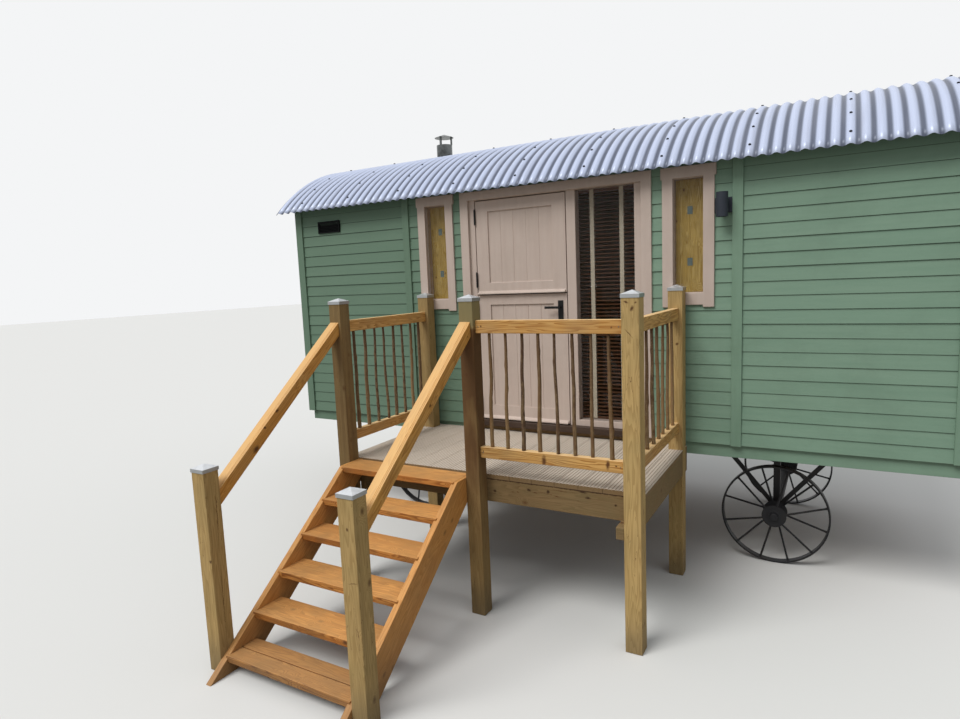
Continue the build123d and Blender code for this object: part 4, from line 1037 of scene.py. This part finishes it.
# The boards lie side by side over the deck's width; beside the back posts a narrow strip stops short of them
def makeDeckBoards():
    low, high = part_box("deck_boards")
    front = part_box("deck_frame")[0][1]
    posts = [post for post in solidBoxes("deck_posts") if post[0][1] > front + deckBoard["wallPosts"]
             and post[1][2] > high[2]]
    gap = deckBoard["gap"]
    near = min(post[0][1] for post in posts) - gap
    far = max(post[1][1] for post in posts) + gap
    left = min(post[1][0] for post in posts) + gap
    right = max(post[0][0] for post in posts) - gap
    count = round((right - left) / deckBoard["pitch"])
    edges = np.linspace(left, right, count + 1)
    spans = [(start + deckBoard["joint"] / 2, end - deckBoard["joint"] / 2, low[1], high[1], deckBoard["grooves"])
             for start, end in zip(edges[:-1], edges[1:])]
    for start, end in ((low[0], left), (right, high[0])):
        grooves = max(1, round(deckBoard["grooves"] * (end - start) / deckBoard["pitch"]))
        spans.append((start, end, low[1], near, grooves))
        if high[1] - far > deckBoard["shortest"]:
            spans.append((start, end, far, high[1], grooves))
    shapes = [reededBoard((x0, y0, low[2]), (x1, y1, high[2]), grooves) for x0, x1, y0, y1, grooves in spans]
    piece = placeShapes("reeded_deck_boards", shapes, materials["deckBoardPine"], "hut")
    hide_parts("deck_boards")


makeDeckBoards()
print("deck boards")

# The railing's sticks: how far they bend, lean and thin out, and their knobs
stick = {"levels": 26, "around": 10, "bend": 0.0024, "waves": (1.0, 2.6), "waveShares": (1.0, 0.45), "lean": 0.006,
         "sizes": (0.8, 1.12), "taper": 0.28, "knobs": 3, "knobRange": (0.08, 0.92), "knobLength": 0.018,
         "knobHeight": 0.35, "roughness": 0.03, "sink": 0.012, "seed": 7}


# Natural sticks: the centre line wanders by two slow sines, the radius tapers and swells at a few knots, and the
# two ends go a little way into the rails
def makeSticks():
    rng = np.random.default_rng(stick["seed"])
    boxes = solidBoxes("rail_sticks")
    count = len(boxes)
    low = np.array([b[0] for b in boxes])
    high = np.array([b[1] for b in boxes])
    centre = (low + high)[:, :2] / 2
    radius = (high - low)[:, 0] / 2
    rise = np.linspace(0, 1, stick["levels"])
    phase = rng.uniform(0, 2 * np.pi, (count, 2, 2))
    swing = rng.normal(0, stick["bend"], (count, 2, 2)) * np.array(stick["waveShares"])[None, :, None]
    waves = np.sin(np.pi * np.array(stick["waves"])[None, :, None, None] * rise[None, None, :, None] * 2
                   + phase[:, :, None, :])
    wander = (waves * swing[:, :, None, :]).sum(axis=1) * np.sin(np.pi * rise)[None, :, None] ** 0.5
    lean = rng.normal(0, stick["lean"], (count, 1, 2)) * (rise - 0.5)[None, :, None]
    line = centre[:, None, :] + wander + lean
    size = radius * rng.uniform(*stick["sizes"], count)
    taper = size[:, None] * (1.0 - stick["taper"] * rise[None, :])
    spots = rng.uniform(*stick["knobRange"], (count, stick["knobs"]))
    swell = np.exp(-((rise[None, None, :] - spots[:, :, None]) / stick["knobLength"]) ** 2)
    side = rng.uniform(0, 2 * np.pi, (count, stick["knobs"]))
    turn = np.linspace(0, 2 * np.pi, stick["around"], endpoint=False)
    facing = np.clip(np.cos(turn[None, None, :] - side[:, :, None]), 0, 1)
    knob = np.einsum("nks,nkt->nst", swell, facing) * stick["knobHeight"]
    rough = 1 + knob + rng.normal(0, stick["roughness"], (count, stick["levels"], stick["around"]))
    reach = taper[:, :, None] * rough
    points = np.zeros((count, stick["levels"], stick["around"], 3))
    points[..., 0] = line[:, :, None, 0] + reach * np.cos(turn)
    points[..., 1] = line[:, :, None, 1] + reach * np.sin(turn)
    start = low[:, 2] - stick["sink"]
    length = high[:, 2] - low[:, 2] + 2 * stick["sink"]
    points[..., 2] = (start[:, None] + length[:, None] * rise[None, :])[:, :, None]
    sticks = [skinSections(section) for section in points]
    piece = placeShapes("hazel_sticks", sticks, materials["hazelBark"], "hut", smooth=True)
    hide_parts("rail_sticks")


makeSticks()
print("hazel sticks")

# Rails run along X at the front and along Y at the sides, so each set takes the grain of its own direction
railLook = {"ease": 0.0035, "angle": 30}


def makeRails():
    groups = {"X": [], "Y": []}
    for low, high in solidBoxes("deck_rails"):
        axis = "X" if high[0] - low[0] > high[1] - low[1] else "Y"
        sides = list(profileAxes[axis])
        along = "XY".index(axis)
        groups[axis].append(straightPrism(rectangle(low[sides], high[sides]), axis, low[along], high[along]))
    for axis, name, finish in (("X", "front_rails", "railPine"), ("Y", "side_rails", "sideRailPine")):
        piece = placeShapes(name, groups[axis], materials[finish], "hut")
        easeEdges(piece, railLook["ease"], railLook["angle"])
        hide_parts("deck_rails")


makeRails()
print("rails")

# The blind's slats, its rails at head and foot, and its ladder tapes
blindLook = {"pitch": 0.028, "slatWidth": 0.033, "slatThick": 0.0028, "crown": 0.0022, "tilt": 14, "headRail": 0.04,
             "footRail": 0.018, "inset": 0.004, "firstSlat": 0.02, "curvePoints": 7, "tapeWidth": 0.030,
             "tapePlaces": (0.236, 0.728), "tapeOut": 0.001, "tapeInset": 0.0003, "tapeFoot": 0.004,
             "tapeHead": 0.002, "sidelightOver": 0.3}


# A wooden Venetian blind: each slat is a thin crowned section, tilted and carried across the window
def makeBlind():
    low, high = nodeBox("venetian_blind")
    middle = (low[1] + high[1]) / 2
    inset = blindLook["inset"]
    across = np.linspace(-0.5, 0.5, blindLook["curvePoints"]) * blindLook["slatWidth"]
    crown = blindLook["crown"] * (1 - (2 * across / blindLook["slatWidth"]) ** 2)
    tilt = math.radians(blindLook["tilt"])
    top = np.stack([across, crown + blindLook["slatThick"] / 2], axis=1)
    under = np.stack([across, crown - blindLook["slatThick"] / 2], axis=1)[::-1]
    section = np.concatenate([top, under])
    turned = np.stack([section[:, 0] * math.cos(tilt) - section[:, 1] * math.sin(tilt),
                       section[:, 0] * math.sin(tilt) + section[:, 1] * math.cos(tilt)], axis=1)
    levels = np.arange(low[2] + blindLook["footRail"] + blindLook["firstSlat"], high[2] - blindLook["headRail"],
                       blindLook["pitch"])
    shapes = [straightPrism(turned + (middle, level), "X", low[0] + inset, high[0] - inset) for level in levels]
    for z0, z1 in ((high[2] - blindLook["headRail"], high[2]), (low[2], low[2] + blindLook["footRail"])):
        box = rectangle((low[1] + inset, z0), (high[1] - inset, z1))
        shapes.append(straightPrism(box, "X", low[0] + inset / 2, high[0] - inset / 2))
    piece = placeShapes("blind_slats", shapes, materials["blindWood"], "hut")
    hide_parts("venetian_blind")
    sidelight = [b for b in solidBoxes("window_glass") if b[1][0] - b[0][0] > blindLook["sidelightOver"]][0]
    tapes = []
    half, thick, edge = blindLook["tapeWidth"] / 2, blindLook["tapeOut"], blindLook["tapeInset"]
    for share in blindLook["tapePlaces"]:
        centre = sidelight[0][0] + share * (sidelight[1][0] - sidelight[0][0])
        for y in (low[1] + edge, high[1] - edge - thick):
            box = rectangle((centre - half, y), (centre + half, y + thick))
            tapes.append(straightPrism(box, "Z", low[2] + blindLook["tapeFoot"], high[2] - blindLook["tapeHead"]))
    placeShapes("blind_tapes", tapes, materials["cottonTape"], "hut")


makeBlind()
print("Venetian blind")

# The stair's handrails slope between two upright cuts; two fine grooves run along the top near the right edge
handrailLook = {"depth": 0.072, "ease": 0.004, "grooves": (0.010, 0.019), "grooveWidth": 0.003, "grooveDepth": 0.002,
                "rounds": 12}


# The profile holds (distance across, drop below the top line), and each end is that profile at its own height,
# with every drop stretched by the slope; that stretch and the slope depend on each other, so they are found in rounds
def makeHandrails():
    shapes = []
    ease = handrailLook["ease"]
    for low, high in solidBoxes("stair_handrails"):
        run = high[1] - low[1]
        deep = handrailLook["depth"]
        for _ in range(handrailLook["rounds"]):
            deep = handrailLook["depth"] * math.hypot(1, (high[2] - low[2] - deep) / run)
        width = high[0] - low[0]
        drop = handrailLook["depth"]
        half = handrailLook["grooveWidth"] / 2
        profile = [(0, ease), (ease * 0.3, ease * 0.3), (ease, 0)]
        for groove in sorted(handrailLook["grooves"], reverse=True):
            middle = width - groove
            profile += [(middle - half, 0), (middle, handrailLook["grooveDepth"]), (middle + half, 0)]
        profile += [(width - ease, 0), (width - ease * 0.3, ease * 0.3), (width, ease), (width, drop - ease),
                    (width - ease, drop), (ease, drop), (0, drop - ease)]
        across, below = np.array(profile).T
        sections = np.zeros((2, len(profile), 3))
        sections[:, :, 0] = low[0] + across
        sections[0, :, 1] = low[1]
        sections[1, :, 1] = high[1]
        sections[0, :, 2] = low[2] + deep - below * deep / drop
        sections[1, :, 2] = high[2] - below * deep / drop
        shapes.append(skinSections(sections))
    piece = placeShapes("grooved_handrails", shapes, materials["handrailPine"], "hut")
    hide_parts("stair_handrails")


makeHandrails()
print("handrails")

# Cast and forged wheels: a flat tyre, a hub with two flanges and a cap, and spokes that lean in and out by turns
wheelLook = {"rim": 0.012, "tyreWidth": 0.050, "hub": 0.120, "cap": 0.016, "capRadius": 0.027, "barrel": 0.045,
             "flange": 0.080, "flangeThick": 0.008, "bore": 0.0205, "spokes": 12, "spoke": 0.007, "ease": 0.0015,
             "tyreSteps": 96, "hubSteps": 40, "spokeSteps": 12}


# The tyre and the hub are profiles of (radius, distance outwards) turned round the axle, and the spokes are bars
def makeWheels():
    look = wheelLook
    for node in ("wheel_front_left", "wheel_front_right", "wheel_back_left", "wheel_back_right"):
        low, high = nodeBox(node)
        outward = -1 if "front" in node else 1
        radius = (high[2] - low[2]) / 2
        centre = (low + high) / 2
        centre[1] = (high[1] if outward < 0 else low[1]) + outward * look["hub"] / 2
        half = look["tyreWidth"] / 2
        ease = look["ease"]
        inner = radius - look["rim"]
        tyre = [(inner, ease - half), (inner + ease, -half), (radius - ease, -half), (radius, ease - half),
                (radius, half - ease), (radius - ease, half), (inner + ease, half), (inner, half - ease)]
        end = look["hub"] / 2
        barrel, flange = look["barrel"], look["flange"]
        cap, capRadius = end + look["cap"], look["capRadius"]
        rowOut, thick = end - look["flangeThick"], look["flangeThick"] / 2
        hub = [(0.001, cap), (capRadius - 0.006, cap), (capRadius - 0.001, cap - 0.003), (capRadius, cap - 0.007),
               (capRadius, end), (barrel - 0.006, end), (barrel, end - 0.002), (barrel, rowOut + thick),
               (flange - ease, rowOut + thick), (flange, rowOut), (flange - ease, rowOut - thick),
               (barrel, rowOut - thick - 0.004), (barrel - 0.004, 0.0), (barrel, thick + 0.004 - rowOut),
               (flange - ease, thick - rowOut), (flange, -rowOut), (flange - ease, -thick - rowOut),
               (barrel, -thick - rowOut), (barrel - 0.002, -end), (look["bore"], -end),
               (look["bore"], end + 0.0005), (0.001, end + 0.0005)]
        turn = 2 * np.pi * (np.arange(look["spokes"]) + 0.5) / look["spokes"]
        ray = np.stack([np.cos(turn), np.zeros_like(turn), np.sin(turn)], axis=1)
        row = np.where(np.arange(look["spokes"]) % 2 == 0, rowOut, -rowOut) * outward
        axle = np.array([[0.0, 1.0, 0.0]])
        near = centre + ray * (flange - look["spoke"]) + axle * row[:, None]
        far = centre + ray * (radius - look["rim"] / 2) + axle * row[:, None] * half / 2 / end
        shapes = []
        for profile, steps, looped in ((tyre, look["tyreSteps"], True), (hub, look["hubSteps"], False)):
            placed = [(reach, outward * out) for reach, out in profile]
            shapes.append(turnedShape(placed, centre, "Y", steps, looped))
        spokeProfile = [(0.0, look["spoke"]), (0.93, look["spoke"]), (0.97, look["spoke"] * 1.25),
                        (1.0, look["spoke"] * 1.25)]
        shapes.append(barsBetween(near, far, spokeProfile, look["spokeSteps"]))
        name = node.replace("wheel", "iron_wheel")
        piece = placeShapes(name, shapes, materials["blackChassisPaint"], bodyOf[node])
        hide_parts(node)


makeWheels()
print("wheels")

# Small fittings: opal lenses in both ends of the lamp and the plate behind it, hinge plates on the window
# shutters, screws in the front rails, and a board of the deck's timber in the gap under the threshold
fittings = {"lensRadius": 0.0295, "lensDepth": 0.010, "lensThick": 0.003, "railScrew": 0.004,
            "screwHeight": 0.0015, "screwInset": 0.02, "kickboardFront": 0.004, "kickboardBack": 0.0105,
            "kickboardGap": 0.0008, "kickboardEase": 0.002, "lampEase": 0.003, "lampGap": 0.001, "plateEase": 0.0005,
            "lensSteps": 40,
            "lampPlate": (0.104, 0.095, 0.020), "shutterPlate": (0.034, 0.052, 0.0015),
            "plateLevels": (2.478, 2.140)}


# A flat plate or board with eased front edges: its rectangle is drawn smaller on its outer face
def easedPlate(low, high, outward, ease):
    low, high = np.array(low), np.array(high)
    back, front = (high[1], low[1]) if outward < 0 else (low[1], high[1])
    corners = np.array([(0, 0), (1, 0), (1, 1), (0, 1)])
    sections = np.zeros((3, 4, 3))
    for row, (level, inset) in enumerate(((back, 0.0), (front - outward * ease, 0.0), (front, ease))):
        inner, outer = low[[0, 2]] + inset, high[[0, 2]] - inset
        sections[row][:, [0, 2]] = inner + corners * (outer - inner)
        sections[row][:, 1] = level
    return skinSections(sections)


def makeFittings():
    low, high = nodeBox("wall_lamp")
    middle = ((low[0] + high[0]) / 2, low[1] + (high[0] - low[0]) / 2)
    lenses = []
    for level, inwards in ((low[2], 1), (high[2], -1)):
        start = level + inwards * fittings["lensDepth"]
        thick = inwards * fittings["lensThick"]
        profile = [(0.001, 0.0), (fittings["lensRadius"] * 0.6, thick * 0.2), (fittings["lensRadius"], thick * 0.7),
                   (fittings["lensRadius"], thick * 1.3), (0.001, thick * 1.3)]
        lenses.append(turnedShape(profile, (*middle, start), "Z", fittings["lensSteps"]))
    placeShapes("lamp_lenses", lenses, materials["opalAcrylic"], "hut")
    wide, tall, thick = fittings["lampPlate"]
    level = (low[2] + high[2]) / 2
    plate = easedPlate((middle[0] - wide / 2, wallFace - thick, level - tall / 2),
                       (middle[0] + wide / 2, wallFace - fittings["lampGap"], level + tall / 2), -1,
                       fittings["lampEase"])
    placeShapes("lamp_plate", [plate], materials["anthraciteCoat"], "hut")
    wide, tall, thick = fittings["shutterPlate"]
    leaves = solidBoxes("window_shutters")
    plates = []
    for face, outward in ((min(leaf[0][1] for leaf in leaves), -1), (max(leaf[1][1] for leaf in leaves), 1)):
        own = [leaf for leaf in leaves if abs(leaf[0 if outward < 0 else 1][1] - face) < 0.01]
        for joint in (leaf[1][0] for leaf in own if any(abs(leaf[1][0] - other[0][0]) < 0.002 for other in own)):
            for level in fittings["plateLevels"]:
                span = sorted((face, face + outward * thick))
                plates.append(easedPlate((joint - wide / 2, span[0], level - tall / 2),
                                         (joint + wide / 2, span[1], level + tall / 2), outward,
                                         fittings["plateEase"]))
    placeShapes("shutter_plates", plates, materials["zincPlate"], "hut")
    doorLow, doorHigh = nodeBox("door_architrave")
    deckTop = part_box("deck_boards")[1][2]
    gap = fittings["kickboardGap"]
    board = easedPlate((doorLow[0], wallFace - fittings["kickboardFront"], deckTop + gap),
                       (doorHigh[0], wallFace + fittings["kickboardBack"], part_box("threshold")[0][2] - gap), -1,
                       fittings["kickboardEase"])
    placeShapes("threshold_kickboard", [board], materials["deckBoardPine"], "hut")
    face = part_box("deck_rails")[0][1]
    rails = [(low, high) for low, high in solidBoxes("deck_rails") if high[0] - low[0] > 0.3 and low[1] < face + 0.02]
    inset = fittings["screwInset"]
    places = [(x, low[1], (low[2] + high[2]) / 2) for low, high in rails for x in (low[0] + inset, high[0] - inset)]
    screws = screwHeads(places, [(0, -1, 0)] * len(places), fittings["railScrew"], fittings["screwHeight"])
    placeShapes("rail_screws", [screws], materials["zincScrew"], "hut", smooth=True)


makeFittings()
print("small fittings")
